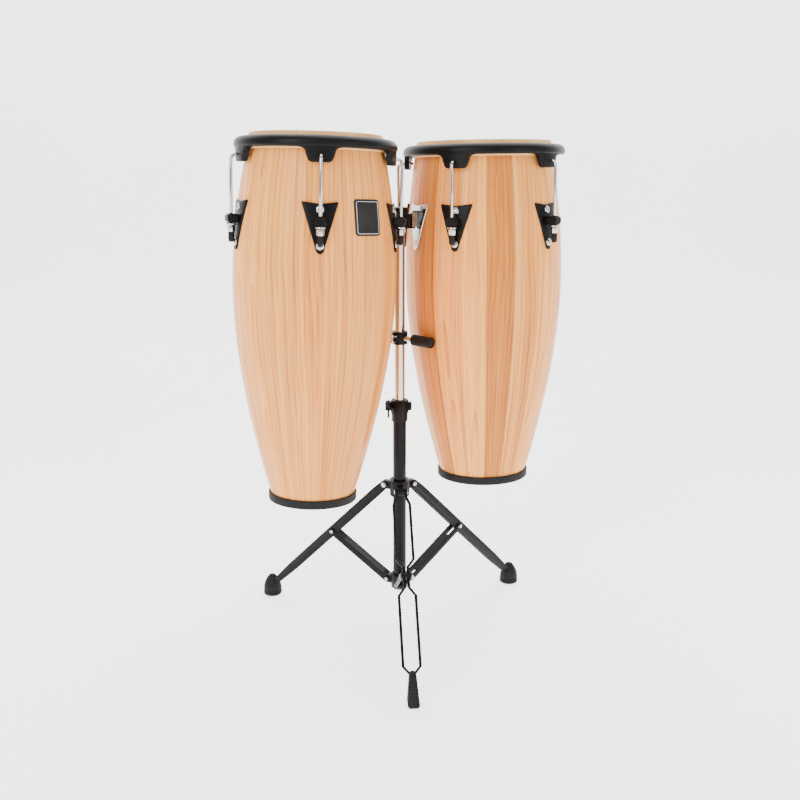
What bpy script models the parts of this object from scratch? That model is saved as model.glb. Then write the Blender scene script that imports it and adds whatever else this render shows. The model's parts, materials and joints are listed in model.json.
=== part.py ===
"""Two wooden conga drums on a folding double stand.

Metres, +Z up.  The pieces are laid out about the axis of the stand's post, and
then carried together so that the middle of the whole box is over the origin.
Azimuths are measured in degrees from +X towards +Y.  -Y is the player's side.
"""

import math

import bmesh
import bpy
from mathutils import Matrix, Vector

# ------------------------------------------------------------------ shared sizes
GAP = 0.0003                  # running gap between pieces that touch
ROUND = 28                    # facets of the large turned pieces
SMALL_ROUND = 16              # facets of the small turned pieces

# ------------------------------------------------------------------ drums
SHELL_HEIGHT = 0.711          # wood only, from the bottom edge to the bearing edge
SHELL_WALL = 0.009
BELLY_SHARE = 0.60            # height of the widest point, as a share of the shell
UPPER_POWER = 2.0             # how the wall curves in above the belly
LOWER_POWER = 1.7             # and below it
SHELL_ROWS = 10
HEAD_SKIN = 0.0025
HEAD_RISE = 0.0055            # of the flat skin above the bearing edge
SKIN_CLEARANCE = 0.0008
HOOP_LEVEL = SHELL_HEIGHT - 0.026    # lower edge of the skin's collar
HOOP_ROLL = 0.001             # swelling of the collar over the hoop
RIM_OVERHANG = 0.029          # from the bearing edge out to the widest point
RIM_HEIGHT = 0.021
RIM_ROLL = 0.013              # radius of the rim's rounded shoulder
RIM_SKIN_GAP = 0.0016         # between the rim and the skin's collar
RIM_TOP = SHELL_HEIGHT - 0.002       # the rim's top is just below the bearing edge
EAR_DROP = 0.027
EAR_DEPTH = 0.013
EAR_TOP_WIDTH = 0.074
EAR_NECK_WIDTH = 0.050
EAR_FOOT_WIDTH = 0.039
EAR_NECK_DROP = 0.011         # from the rim's lower edge to the ear's neck
EAR_CORNER = 0.003
HOOK_DROP = 0.014             # from the rim's lower edge to the rod's hook
LUG_COUNT = 5
ROD_DIAMETER = 0.0063
ROD_STANDOFF = 0.0125         # rod axis outside the rim's widest point
ROD_BEND = 0.010              # inside the hook
ROD_END_COVER = 0.008         # of the nut's cap over the rod's end
LUG_TOP = SHELL_HEIGHT - 0.119        # top edge of the side plate
LUG_PLATE_HEIGHT = 0.093
LUG_PLATE_WIDTH = 0.069
LUG_TIP_WIDTH = 0.009
LUG_PLATE_THICK = 0.003
LUG_PLATE_LIFT = 0.0008       # between the plate and the wood
LUG_BLOCK_TOP = LUG_TOP - 0.027
LUG_BLOCK_HEIGHT = 0.016
LUG_BLOCK_WIDTH = 0.024
LUG_ROOT = 0.002              # of a block inside its plate
NUT_HEIGHT = 0.030
NUT_FLAT_RADIUS = 0.0068
NUT_CAP = 0.012               # length of the nut's slim end
WASHER_RADIUS = 0.0095
WASHER_HEIGHT = 0.006
RING_HEIGHT = 0.013
RING_WALL = 0.0035
RING_LIP = 0.004              # of the bottom ring below the wood

# ------------------------------------------------------------------ stand
TUBE_RADIUS = 0.0143
TUBE_WALL = 0.0015
TUBE_BOTTOM = 0.090
TUBE_TOP = 0.500
POST_RADIUS = 0.0111
POST_WALL = 0.0016
POST_BOTTOM = 0.300
HUB_PIVOT_HEIGHT = 0.332
HUB_PIVOT_RADIUS = 0.035
HUB_HEIGHT = 0.036
HUB_WALL = 0.007
COLLAR_PIVOT_HEIGHT = 0.1056
COLLAR_PIVOT_RADIUS = 0.0283
COLLAR_HEIGHT = 0.032
COLLAR_WALL = 0.0045
TONGUE_REACH = 0.009          # radius of the tongues round their pivots
LEG_AZIMUTHS = {"left": 155.7, "right": 36.7, "front": -85.3}
FOOT_RADIUS_OUT = 0.337       # from the post to the middle of a foot
FOOT_END_HEIGHT = 0.022       # height of the leg's axis over the foot
LEG_WIDTH = 0.018
LEG_DEPTH = 0.021
LEG_SHEET = 0.002
LEG_BRACE_SHARE = 0.437       # brace pivot along the leg, as a share of its length
BRACE_DEPTH = 0.014
BRACE_SHEET = 0.002
BRACE_CUT_BACK = 0.036        # length of the bare cheeks at the leg's end
PIN_RADIUS = 0.004
PIN_HEAD = 0.0015
PIN_ROOT = 0.0008             # of a pin's head inside the cheek
WIRE_DIAMETER = 0.0064
WIRE_SPREAD = 0.0175          # half the distance between the front leg's wires
WIRE_NECK = 0.0046
FOOT_BASE_RADIUS = 0.022
FOOT_HEIGHT = 0.050
FRONT_FOOT_WIDTH = 0.025
FRONT_FOOT_DEPTH = 0.034
FRONT_FOOT_HEIGHT = 0.060
FRONT_FOOT_TAPER = 0.55
FRONT_FOOT_LEAN = 0.021       # of the wedge's top towards the post
CLAMP_HEIGHT = 0.031
CLAMP_SLEEVE = 0.016
CLAMP_RADIUS = 0.0195
BRACKET_HEIGHT = 0.040
BRACKET_WALL = 0.005
TONGUE_THICK = 0.006
TONGUE_HEIGHT = 0.034
TONGUE_ROOT = 0.0085          # of the tongue outside the mounting block
MOUNT_DEPTH = 0.014
MOUNT_DROP = 0.030            # from the plate's top to the middle of its block
MOUNT_CHEEK = 0.003           # on each side of the slot
MOUNT_FLOOR = 0.005           # behind the slot
MOUNT_ROOF = 0.006            # above the slot
ARM_SHARE = 0.42              # height of the steadying bar, as a share of the left shell
ARM_AZIMUTH = -39.0
ARM_REACH = 0.086
ARM_ROD_RADIUS = 0.0062
ARM_CLAMP_HEIGHT = 0.026
ARM_SCREW_OFFSET = 0.0245
SLEEVE_LENGTH = 0.050
SLEEVE_RADIUS = 0.0115
ARM_CLAMP_WALL = 0.0055
SCREW_RADIUS = 0.004
CLAMP_SCREW_OUT = 0.024       # from the post's axis to the clamp's screw
CLAMP_JAW = 0.0085            # half the width of the clamp's jaw
ARM_JAW = 0.0065              # half the width of the bar clamp's jaw

MOUNT_LEVEL = LUG_TOP - MOUNT_DROP

# A drum hangs at the point on its axis level with its mounting block.
DRUMS = {
    "left": {
        "hang": (-0.1634, -0.0981, MOUNT_LEVEL + 0.3692),
        "lean": (-5.5, 1.5),
        "edge": 0.127, "belly": 0.160, "foot": 0.0815,
        "first_lug": -82.5, "mount_after": 1.5,
    },
    "right": {
        "hang": (0.1782, 0.0940, MOUNT_LEVEL + 0.3471),
        "lean": (-4.7, -0.7),
        "edge": 0.1397, "belly": 0.1665, "foot": 0.0915,
        "first_lug": -114.5, "mount_after": -0.5,
    },
}

HANG_HEIGHT = DRUMS["left"]["hang"][2]
POST_TOP = HANG_HEIGHT + 0.0038
ARM_HEIGHT = HANG_HEIGHT - MOUNT_LEVEL + ARM_SHARE * SHELL_HEIGHT

FINISHES = {
    "wood": ((0.86, 0.60, 0.36, 1), 0.35, 0.0),
    "skin": ((0.80, 0.62, 0.40, 1), 0.55, 0.0),
    "black_metal": ((0.015, 0.015, 0.016, 1), 0.40, 0.6),
    "rubber": ((0.012, 0.012, 0.012, 1), 0.75, 0.0),
    "chrome": ((0.80, 0.80, 0.82, 1), 0.12, 1.0),
}


# ------------------------------------------------------------------ helpers
def clear_scene():
    for thing in list(bpy.data.objects):
        bpy.data.objects.remove(thing, do_unlink=True)


def finish(name):
    material = bpy.data.materials.get(name)
    if material is None:
        colour, roughness, metallic = FINISHES[name]
        material = bpy.data.materials.new(name)
        material.use_nodes = True
        shader = material.node_tree.nodes["Principled BSDF"]
        shader.inputs["Base Color"].default_value = colour
        shader.inputs["Roughness"].default_value = roughness
        shader.inputs["Metallic"].default_value = metallic
    return material


def add_object(name, data, material=None, parent=None, matrix=None):
    thing = bpy.data.objects.new(name, data)
    bpy.context.scene.collection.objects.link(thing)
    if material:
        data.materials.append(finish(material))
    if parent:
        thing.parent = parent
    if matrix:
        thing.matrix_basis = matrix
    return thing


def add_empty(name, matrix, parent=None):
    return add_object(name, None, parent=parent, matrix=matrix)


def add_mesh(name, shape, material, parent=None, matrix=None):
    bmesh.ops.remove_doubles(shape, verts=shape.verts, dist=1e-6)
    bmesh.ops.recalc_face_normals(shape, faces=shape.faces)
    mesh = bpy.data.meshes.new(name)
    shape.to_mesh(mesh)
    shape.free()
    mesh.shade_smooth()
    mesh.set_sharp_from_angle(angle=math.radians(35))
    return add_object(name, mesh, material, parent, matrix)


def combine(target, shapes, operation):
    """Unite the shapes with the target, or cut them from it."""
    joined = bmesh.new()
    for shape in shapes:
        bmesh.ops.recalc_face_normals(shape, faces=shape.faces)
        part = bpy.data.meshes.new("part")
        shape.to_mesh(part)
        shape.free()
        joined.from_mesh(part)
        bpy.data.meshes.remove(part)
    mesh = bpy.data.meshes.new(target.name + "_tool")
    joined.to_mesh(mesh)
    joined.free()
    number = len(target.modifiers)
    tool = add_object("%s_tool_%d" % (target.name, number), mesh)
    tool.parent = target.parent
    tool.matrix_basis = target.matrix_basis
    tool.hide_render = True
    tool.display_type = "WIRE"
    modifier = target.modifiers.new(operation.lower(), "BOOLEAN")
    modifier.operation = operation
    modifier.solver = "EXACT"
    modifier.use_self = operation == "UNION"
    modifier.object = tool
    return target


def turned(profile, sides=ROUND):
    """Closed outline of (radius, height) points, turned round the Z axis."""
    shape = bmesh.new()
    verts = [shape.verts.new((radius, 0, height)) for radius, height in profile]
    edges = []
    for start, end in zip(verts, verts[1:] + verts[:1]):
        edges.append(shape.edges.new((start, end)))
    bmesh.ops.spin(
        shape, geom=verts + edges, cent=(0, 0, 0), axis=(0, 0, 1),
        angle=math.tau, steps=sides, use_merge=True,
    )
    bmesh.ops.remove_doubles(shape, verts=shape.verts, dist=1e-6)
    bmesh.ops.dissolve_degenerate(shape, dist=1e-7, edges=shape.edges)
    loose = [edge for edge in shape.edges if not edge.link_faces]
    bmesh.ops.delete(shape, geom=loose, context="EDGES")
    return shape


def pipe(inner, outer, bottom, top, sides=SMALL_ROUND):
    return turned([(outer, top), (outer, bottom), (inner, bottom), (inner, top)], sides)


def rod(radius, start, end, sides=SMALL_ROUND):
    """Solid round bar between two points."""
    start, end = Vector(start), Vector(end)
    axis = end - start
    shape = bmesh.new()
    turn = axis.to_track_quat("Z", "Y").to_matrix().to_4x4()
    place = Matrix.Translation((start + end) / 2) @ turn
    bmesh.ops.create_cone(
        shape, cap_ends=True, segments=sides, radius1=radius, radius2=radius,
        depth=axis.length, matrix=place,
    )
    return shape


def block(low, high, bevel=0.0):
    """Box between two corners, with its edges rounded."""
    low, high = Vector(low), Vector(high)
    shape = bmesh.new()
    place = Matrix.Translation((low + high) / 2) @ Matrix.Diagonal((*(high - low), 1))
    bmesh.ops.create_cube(shape, size=1, matrix=place)
    if bevel:
        bmesh.ops.bevel(
            shape, geom=shape.edges[:], offset=bevel, segments=1, affect="EDGES",
        )
    return shape


def plate(outline, start, thickness):
    """Flat outline of (x, z) points, pushed along +Y from start."""
    shape = bmesh.new()
    verts = [shape.verts.new((x, start, z)) for x, z in outline]
    face = shape.faces.new(verts)
    grown = bmesh.ops.extrude_face_region(shape, geom=[face])
    moved = [item for item in grown["geom"] if isinstance(item, bmesh.types.BMVert)]
    bmesh.ops.translate(shape, verts=moved, vec=(0, thickness, 0))
    return shape


def rounded_strip(start, end, radius, steps=5):
    """Outline of a flat bar with round ends about two (x, z) points."""
    start, end = Vector(start), Vector(end)
    heading = math.atan2((end - start).y, (end - start).x)
    points = []
    for centre, turn in ((end, -90), (start, 90)):
        for step in range(steps + 1):
            angle = heading + math.radians(turn + 180 * step / steps)
            points.append((centre.x + radius * math.cos(angle),
                           centre.y + radius * math.sin(angle)))
    return points


def bent_rod(name, points, diameter, material, parent, matrix):
    curve = bpy.data.curves.new(name, "CURVE")
    curve.dimensions = "3D"
    curve.bevel_depth = diameter / 2
    curve.bevel_resolution = 1
    curve.use_fill_caps = True
    line = curve.splines.new("POLY")
    line.points.add(len(points) - 1)
    for point, place in zip(line.points, points):
        point.co = (*place, 1)
    return add_object(name, curve, material, parent, matrix)


def spin_z(degrees):
    return Matrix.Rotation(math.radians(degrees), 4, "Z")


def place_shape(shape, matrix):
    bmesh.ops.transform(shape, matrix=matrix, verts=shape.verts)
    return shape


# ------------------------------------------------------------------ drum pieces
def shell_radius(drum, height):
    """Outside radius of the wooden shell at a height above its bottom edge."""
    belly_height = BELLY_SHARE * SHELL_HEIGHT
    if height >= belly_height:
        share = (height - belly_height) / (SHELL_HEIGHT - belly_height)
        return drum["belly"] - (drum["belly"] - drum["edge"]) * share ** UPPER_POWER
    share = (belly_height - height) / belly_height
    return drum["belly"] - (drum["belly"] - drum["foot"]) * share ** LOWER_POWER


def rim_radius(drum):
    return drum["edge"] + RIM_OVERHANG


def rod_radius(drum):
    return rim_radius(drum) + ROD_STANDOFF


def add_shell(side, drum, frame):
    heights = [SHELL_HEIGHT * row / SHELL_ROWS for row in range(SHELL_ROWS + 1)]
    outside = [(shell_radius(drum, height), height) for height in reversed(heights)]
    inside = [(shell_radius(drum, height) - SHELL_WALL, height) for height in heights]
    add_mesh(side + "_shell", turned(outside + inside), "wood", frame)


def head_radius(drum, height):
    """Outside radius of the skin's collar where it hangs over the shell."""
    return shell_radius(drum, height) + SKIN_CLEARANCE + HEAD_SKIN


def add_head(side, drum, frame):
    """Skin over the bearing edge, tucked round its hoop outside the shell."""
    edge = drum["edge"]
    top = SHELL_HEIGHT + GAP
    profile = [
        (0, top + HEAD_RISE + HEAD_SKIN),
        (edge - 0.010, top + HEAD_RISE + HEAD_SKIN),
        (edge - 0.003, top + HEAD_RISE * 0.6 + HEAD_SKIN),
        (head_radius(drum, SHELL_HEIGHT), SHELL_HEIGHT - 0.003),
        (head_radius(drum, HOOP_LEVEL) + HOOP_ROLL, HOOP_LEVEL + 0.006),
        (head_radius(drum, HOOP_LEVEL) + HOOP_ROLL, HOOP_LEVEL),
        (head_radius(drum, HOOP_LEVEL) - HEAD_SKIN, HOOP_LEVEL),
        (edge + SKIN_CLEARANCE, top),
        (0, top),
    ]
    add_mesh(side + "_head", turned(profile), "skin", frame)


def add_rim(side, drum, frame):
    """Rounded comfort rim with five ears that take the tension rods."""
    outer = rim_radius(drum)
    low = RIM_TOP - RIM_HEIGHT
    inner = head_radius(drum, HOOP_LEVEL) + RIM_SKIN_GAP
    lip = head_radius(drum, SHELL_HEIGHT) + RIM_SKIN_GAP
    profile = [
        (lip, RIM_TOP - 0.003), (lip + 0.002, RIM_TOP),
        (outer - RIM_ROLL, RIM_TOP - 0.0005), (outer - RIM_ROLL * 0.4, RIM_TOP - 0.004),
        (outer, RIM_TOP - RIM_ROLL), (outer - 0.001, low + 0.003), (outer - 0.004, low),
        (inner + 0.002, low), (inner, low + 0.002), (inner, HOOP_LEVEL + 0.008),
    ]
    rim = add_mesh(side + "_rim", turned(list(reversed(profile))), "black_metal", frame)
    outside = outer - 0.0015
    ears = []
    holes = []
    for number in range(LUG_COUNT):
        turn = spin_z(lug_azimuth(drum, number) + 90)
        top = low + 0.006
        foot = low - EAR_DROP
        neck = low - EAR_NECK_DROP
        outline = [
            (-EAR_TOP_WIDTH / 2, top), (-EAR_TOP_WIDTH / 2, low - 0.001),
            (-EAR_NECK_WIDTH / 2, neck), (-EAR_FOOT_WIDTH / 2, foot + EAR_CORNER),
            (-EAR_FOOT_WIDTH / 2 + EAR_CORNER, foot), (EAR_FOOT_WIDTH / 2 - EAR_CORNER, foot),
            (EAR_FOOT_WIDTH / 2, foot + EAR_CORNER), (EAR_NECK_WIDTH / 2, neck),
            (EAR_TOP_WIDTH / 2, low - 0.001), (EAR_TOP_WIDTH / 2, top),
        ]
        sag = (EAR_TOP_WIDTH / 2) ** 2 / (2 * outer)
        ear = plate(outline, -outside + sag * 0.5, EAR_DEPTH - sag * 0.5)
        ears.append(place_shape(ear, turn))
        hook = rod(ROD_DIAMETER / 2 + 2 * GAP, (0, -outer - 0.01, hook_height()),
                   (0, -outer + 0.03, hook_height()), 8)
        holes.append(place_shape(hook, turn))
    combine(rim, ears, "UNION")
    combine(rim, holes, "DIFFERENCE")


def lug_azimuth(drum, number):
    return drum["first_lug"] + number * 360 / LUG_COUNT


def hook_height():
    return RIM_TOP - RIM_HEIGHT - HOOK_DROP


def lug_frame(drum, number):
    """Turns the local -Y direction to face out of the drum at the lug."""
    return spin_z(lug_azimuth(drum, number) + 90)


def add_rod(side, drum, number, frame):
    out = rod_radius(drum)
    inner = rim_radius(drum) - EAR_DEPTH - 0.006
    hook = hook_height()
    points = [(0, -inner, hook), (0, -(out - ROD_BEND), hook)]
    for step in range(1, 4):
        angle = math.radians(90 * step / 4)
        points.append((0, -(out - ROD_BEND + ROD_BEND * math.sin(angle)),
                       hook - ROD_BEND + ROD_BEND * math.cos(angle)))
    end = LUG_BLOCK_TOP - LUG_BLOCK_HEIGHT - WASHER_HEIGHT - NUT_HEIGHT + ROD_END_COVER
    points += [(0, -out, hook - ROD_BEND), (0, -out, end)]
    bent_rod("%s_rod_%d" % (side, number + 1), points, ROD_DIAMETER, "chrome",
             frame, lug_frame(drum, number))


def wrapped_plate(drum):
    """V-shaped plate that follows the shell's outside, facing -Y."""
    rows, columns = 5, 4
    shape = bmesh.new()
    layers = []
    for depth in (LUG_PLATE_LIFT, LUG_PLATE_LIFT + LUG_PLATE_THICK):
        grid = []
        for row in range(rows + 1):
            share = row / rows
            level = LUG_TOP - LUG_PLATE_HEIGHT * share
            radius = shell_radius(drum, level) + depth
            half = (LUG_PLATE_WIDTH + (LUG_TIP_WIDTH - LUG_PLATE_WIDTH) * share) / 2
            line = []
            for column in range(columns + 1):
                angle = (2 * column / columns - 1) * half / radius
                line.append(shape.verts.new(
                    (radius * math.sin(angle), -radius * math.cos(angle), level)))
            grid.append(line)
        layers.append(grid)
    for grid in layers:
        for row in range(rows):
            for column in range(columns):
                shape.faces.new((grid[row][column], grid[row][column + 1],
                                 grid[row + 1][column + 1], grid[row + 1][column]))
    border = []
    for grid in layers:
        loop = list(grid[0]) + [line[-1] for line in grid[1:]]
        loop += list(reversed(grid[-1][:-1])) + [line[0] for line in reversed(grid[1:-1])]
        border.append(loop)
    count = len(border[0])
    for index in range(count):
        after = (index + 1) % count
        shape.faces.new((border[0][index], border[0][after],
                         border[1][after], border[1][index]))
    return shape


def add_lug(side, drum, number, frame):
    """Side plate with the block that the tension rod passes through."""
    name = "%s_lug_%d" % (side, number + 1)
    lug = add_mesh(name, wrapped_plate(drum), "black_metal", frame, lug_frame(drum, number))
    out = rod_radius(drum)
    low = LUG_BLOCK_TOP - LUG_BLOCK_HEIGHT
    inner = shell_radius(drum, low) + LUG_ROOT
    half = LUG_BLOCK_WIDTH / 2
    body = block((-half, -(out + half * 0.8), low), (half, -inner, LUG_BLOCK_TOP), 0.0015)
    combine(lug, [body], "UNION")
    bore = rod(ROD_DIAMETER / 2 + 2 * GAP, (0, -out, low - 0.01),
               (0, -out, LUG_BLOCK_TOP + 0.01), 8)
    combine(lug, [bore], "DIFFERENCE")


def add_nut(side, drum, number, frame):
    """Cup washer, hexagon nut and its rounded end cap, turned as one."""
    top = -GAP
    bore = ROD_DIAMETER / 2 + 2 * GAP
    washer = top - WASHER_HEIGHT
    end = top - WASHER_HEIGHT - NUT_HEIGHT
    bottom = end + ROD_END_COVER - 0.002
    profile = [
        (bore, top), (bore, bottom), (0, bottom), (0, end),
        (NUT_FLAT_RADIUS * 0.6, end), (NUT_FLAT_RADIUS * 0.9, end + 0.004),
        (NUT_FLAT_RADIUS * 0.9, end + NUT_CAP), (NUT_FLAT_RADIUS, end + NUT_CAP + 0.002),
        (NUT_FLAT_RADIUS, washer), (WASHER_RADIUS, washer + 0.001),
        (WASHER_RADIUS, washer + 0.003), (WASHER_RADIUS * 0.8, top),
    ]
    low = LUG_BLOCK_TOP - LUG_BLOCK_HEIGHT
    turn = lug_frame(drum, number)
    place = turn @ Matrix.Translation((0, -rod_radius(drum), low))
    add_mesh("%s_nut_%d" % (side, number + 1), turned(profile, 8), "chrome", frame, place)


def add_bottom_ring(side, drum, frame):
    inner = drum["foot"] + GAP
    slope = shell_radius(drum, RING_HEIGHT) - drum["foot"]
    profile = [
        (inner + slope + RING_WALL * 0.6, RING_HEIGHT), (inner + slope + RING_WALL, 0.004),
        (inner + RING_WALL, -RING_LIP), (inner - SHELL_WALL, -RING_LIP),
        (inner - SHELL_WALL, -GAP), (inner + GAP, -GAP), (inner + slope + GAP, RING_HEIGHT),
    ]
    add_mesh(side + "_bottom_ring", turned(profile), "rubber", frame)


def add_mount(side, drum, frame):
    """V-shaped plate with the slotted block that hooks over the stand's tongue."""
    name = side + "_mount"
    turn = lug_frame(drum, drum["mount_after"])
    mount = add_mesh(name, wrapped_plate(drum), "chrome", frame, turn)
    low = MOUNT_LEVEL - TONGUE_HEIGHT / 2
    high = low + TONGUE_HEIGHT
    inner = shell_radius(drum, low) + LUG_ROOT
    slot = TONGUE_THICK / 2 + 0.001
    half = slot + MOUNT_CHEEK
    body = block((-half, -(inner + MOUNT_DEPTH), low), (half, -inner, high), 0.001)
    combine(mount, [body], "UNION")
    channel = block((-slot, -(inner + MOUNT_DEPTH + 0.01), low - 0.01),
                    (slot, -(inner + MOUNT_FLOOR), high - MOUNT_ROOF))
    combine(mount, [channel], "DIFFERENCE")


def drum_matrix(drum):
    tilt, roll = (math.radians(angle) for angle in drum["lean"])
    lean = Matrix.Rotation(roll, 4, "Y") @ Matrix.Rotation(tilt, 4, "X")
    return Matrix.Translation(drum["hang"]) @ lean @ Matrix.Translation((0, 0, -MOUNT_LEVEL))


def add_drum(side, drum):
    frame = add_empty(side + "_drum_frame", drum_matrix(drum))
    add_shell(side, drum, frame)
    add_head(side, drum, frame)
    add_rim(side, drum, frame)
    add_bottom_ring(side, drum, frame)
    add_mount(side, drum, frame)
    for number in range(LUG_COUNT):
        add_rod(side, drum, number, frame)
        add_lug(side, drum, number, frame)
        add_nut(side, drum, number, frame)


# ------------------------------------------------------------------ stand pieces
def leg_line():
    """Pivot on the hub, brace pivot and foot end of a leg, as (radius, height)."""
    pivot = Vector((HUB_PIVOT_RADIUS, HUB_PIVOT_HEIGHT))
    foot = Vector((FOOT_RADIUS_OUT, FOOT_END_HEIGHT))
    return pivot, pivot.lerp(foot, LEG_BRACE_SHARE), foot


def slope_frame(start, end):
    """Frame with +X from start to end in the (radius, height) plane, +Y sideways."""
    heading = math.atan2((end - start).y, (end - start).x)
    return Matrix.Translation((start.x, 0, start.y)) @ Matrix.Rotation(-heading, 4, "Y")


def add_tube():
    inner = TUBE_RADIUS - TUBE_WALL
    add_mesh("lower_tube", pipe(inner, TUBE_RADIUS, TUBE_BOTTOM, TUBE_TOP, 20),
             "black_metal")


def tongue_outline(root, radius, height):
    """Outline of a tongue from a flat root to a round end about its pivot."""
    points = [(root, height + TONGUE_REACH), (root, height - TONGUE_REACH)]
    for step in range(6):
        angle = math.radians(-90 + 36 * step)
        points.append((radius + TONGUE_REACH * math.cos(angle),
                       height + TONGUE_REACH * math.sin(angle)))
    return points


def ring_with_tongues(name, inner, outer, low, high, pivot, tongue, closed=False):
    """Sleeve round the tube with a tongue for each leg or brace."""
    if closed:
        floor = low - 0.004
        profile = [(outer, high), (outer, low), (outer - 0.004, floor), (0, floor),
                   (0, low), (inner, low), (inner, high)]
        sleeve = turned(profile, 20)
    else:
        sleeve = pipe(inner, outer, low, high, 20)
    ring = add_mesh(name, sleeve, "black_metal")
    tongues = []
    radius, height = pivot
    root = inner + 0.0008
    for azimuth in LEG_AZIMUTHS.values():
        shape = plate(tongue_outline(root, radius, height), -tongue / 2, tongue)
        tongues.append(place_shape(shape, spin_z(azimuth)))
    combine(ring, tongues, "UNION")
    return ring


def add_hub():
    inner = TUBE_RADIUS + GAP
    low = HUB_PIVOT_HEIGHT - HUB_HEIGHT * 0.55
    high = low + HUB_HEIGHT
    tongue = LEG_WIDTH - 2 * LEG_SHEET - 2 * GAP
    ring_with_tongues("hub", inner, inner + HUB_WALL, low, high,
                      (HUB_PIVOT_RADIUS, HUB_PIVOT_HEIGHT), tongue)


def add_collar():
    inner = TUBE_RADIUS + GAP
    low = TUBE_BOTTOM - GAP
    ring_with_tongues("lower_collar", inner, inner + COLLAR_WALL, low, low + COLLAR_HEIGHT,
                      (COLLAR_PIVOT_RADIUS, COLLAR_PIVOT_HEIGHT), LEG_WIDTH, True)


def pin_heads(face, places):
    """Heads of the pins at both cheeks, for each distance along the piece."""
    heads = []
    for along in places:
        for way in (-1, 1):
            heads.append(rod(PIN_RADIUS, (along, way * (face - PIN_ROOT), 0),
                             (along, way * (face + PIN_HEAD), 0), 10))
    return heads


def add_channel_leg(side):
    """Pressed channel, open below, with pivot pin heads on its cheeks."""
    pivot, _, foot = leg_line()
    length = (foot - pivot).length
    half = LEG_DEPTH / 2
    width = LEG_WIDTH / 2
    slim = half * 0.62
    cheek = []
    for step in range(5):
        angle = math.radians(90 + 180 * step / 4)
        cheek.append((0.0085 * math.cos(angle), 0.0085 * math.sin(angle)))
    outline = cheek + [
        (0.024, -half), (length * 0.8, -half), (length - 0.004, -slim),
        (length - 0.004, slim), (length * 0.8, half), (0.024, half),
    ]
    matrix = spin_z(LEG_AZIMUTHS[side]) @ slope_frame(pivot, foot)
    leg = add_mesh("leg_" + side, plate(outline, -width, LEG_WIDTH), "black_metal",
                   None, matrix)
    inside = width - LEG_SHEET
    hollow = block((-0.02, -inside, -half - 0.01), (length * 0.93, inside, slim - LEG_SHEET))
    mouth = block((-0.02, -inside, -half - 0.02), (0.016, inside, half + 0.02))
    combine(leg, [hollow], "DIFFERENCE")
    combine(leg, [mouth], "DIFFERENCE")
    combine(leg, pin_heads(width, [0.0]), "UNION")


def add_wire_leg():
    """Front leg of two bent wires, joined at its pivot, its neck and its foot."""
    pivot, brace, foot = leg_line()
    length = (foot - pivot).length
    neck = (brace - pivot).length
    matrix = spin_z(LEG_AZIMUTHS["front"]) @ slope_frame(pivot, foot)
    half = (LEG_WIDTH - 2 * LEG_SHEET) / 2
    stops = [
        (0.0, half + WIRE_DIAMETER / 2 + GAP), (0.012, half + WIRE_DIAMETER / 2 + GAP),
        (0.030, WIRE_SPREAD),
        (neck - 0.036, WIRE_SPREAD), (neck - 0.019, WIRE_NECK), (neck + 0.025, WIRE_NECK),
        (neck + 0.042, WIRE_SPREAD), (length - 0.056, WIRE_SPREAD),
        (length - 0.040, WIRE_DIAMETER / 2 + 0.0002), (length - 0.002, WIRE_DIAMETER / 2 + 0.0002),
    ]
    wires = [wire_shape(stops, 1), wire_shape(stops, -1)]
    side = half + WIRE_DIAMETER + GAP
    barrel = rod(0.0058, (neck, -LEG_WIDTH / 2, 0), (neck, LEG_WIDTH / 2, 0), 12)
    eyes = []
    for way in (-1, 1):
        eyes.append(rod(0.0060, (0, way * (half + GAP), 0), (0, way * side, 0), 12))
    tenon = block((length - 0.030, -0.0052, -0.0030), (length - 0.003, 0.0052, 0.0030))
    leg = add_mesh("leg_front", wires[0], "black_metal", None, matrix)
    combine(leg, [wires[1]], "UNION")
    combine(leg, [barrel, tenon] + eyes, "UNION")


def wire_shape(stops, way):
    """Eight-sided bar through the stops, each (along, spread)."""
    sides = 8
    shape = bmesh.new()
    rings = []
    for index, (along, spread) in enumerate(stops):
        before = Vector(stops[max(index - 1, 0)])
        after = Vector(stops[min(index + 1, len(stops) - 1)])
        heading = (after - before).normalized()
        across = Vector((-heading.y, heading.x))
        ring = []
        for step in range(sides):
            angle = math.tau * (step + 0.5) / sides
            offset = across * (WIRE_DIAMETER / 2 * math.cos(angle))
            ring.append(shape.verts.new((along + offset.x, way * (spread + offset.y),
                                         WIRE_DIAMETER / 2 * math.sin(angle))))
        rings.append(ring)
    for first, second in zip(rings, rings[1:]):
        for step in range(sides):
            after = (step + 1) % sides
            shape.faces.new((first[step], first[after], second[after], second[step]))
    shape.faces.new(rings[0])
    shape.faces.new(rings[-1])
    return shape


def add_brace(side):
    """Slim channel from the collar to the leg, bare cheeks at both ends."""
    _, leg_pin, _ = leg_line()
    collar_pin = Vector((COLLAR_PIVOT_RADIUS, COLLAR_PIVOT_HEIGHT))
    length = (leg_pin - collar_pin).length
    half = BRACE_DEPTH / 2
    inside = LEG_WIDTH / 2 + GAP
    outside = inside + BRACE_SHEET
    outline = rounded_strip((0, 0), (length, 0), half)
    matrix = spin_z(LEG_AZIMUTHS[side]) @ slope_frame(collar_pin, leg_pin)
    brace = add_mesh("brace_" + side, plate(outline, -outside, 2 * outside), "black_metal",
                     None, matrix)
    web_start, web_end = 0.016, length - BRACE_CUT_BACK
    hollow = block((-0.02, -inside, -half - 0.01), (length + 0.02, inside, half - BRACE_SHEET))
    low_end = block((-0.02, -inside, -half - 0.01), (web_start, inside, half + 0.01))
    high_end = block((web_end, -inside, -half - 0.01), (length + 0.02, inside, half + 0.01))
    for cut in (hollow, low_end, high_end):
        combine(brace, [cut], "DIFFERENCE")
    combine(brace, pin_heads(outside, [0.0, length]), "UNION")


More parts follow.
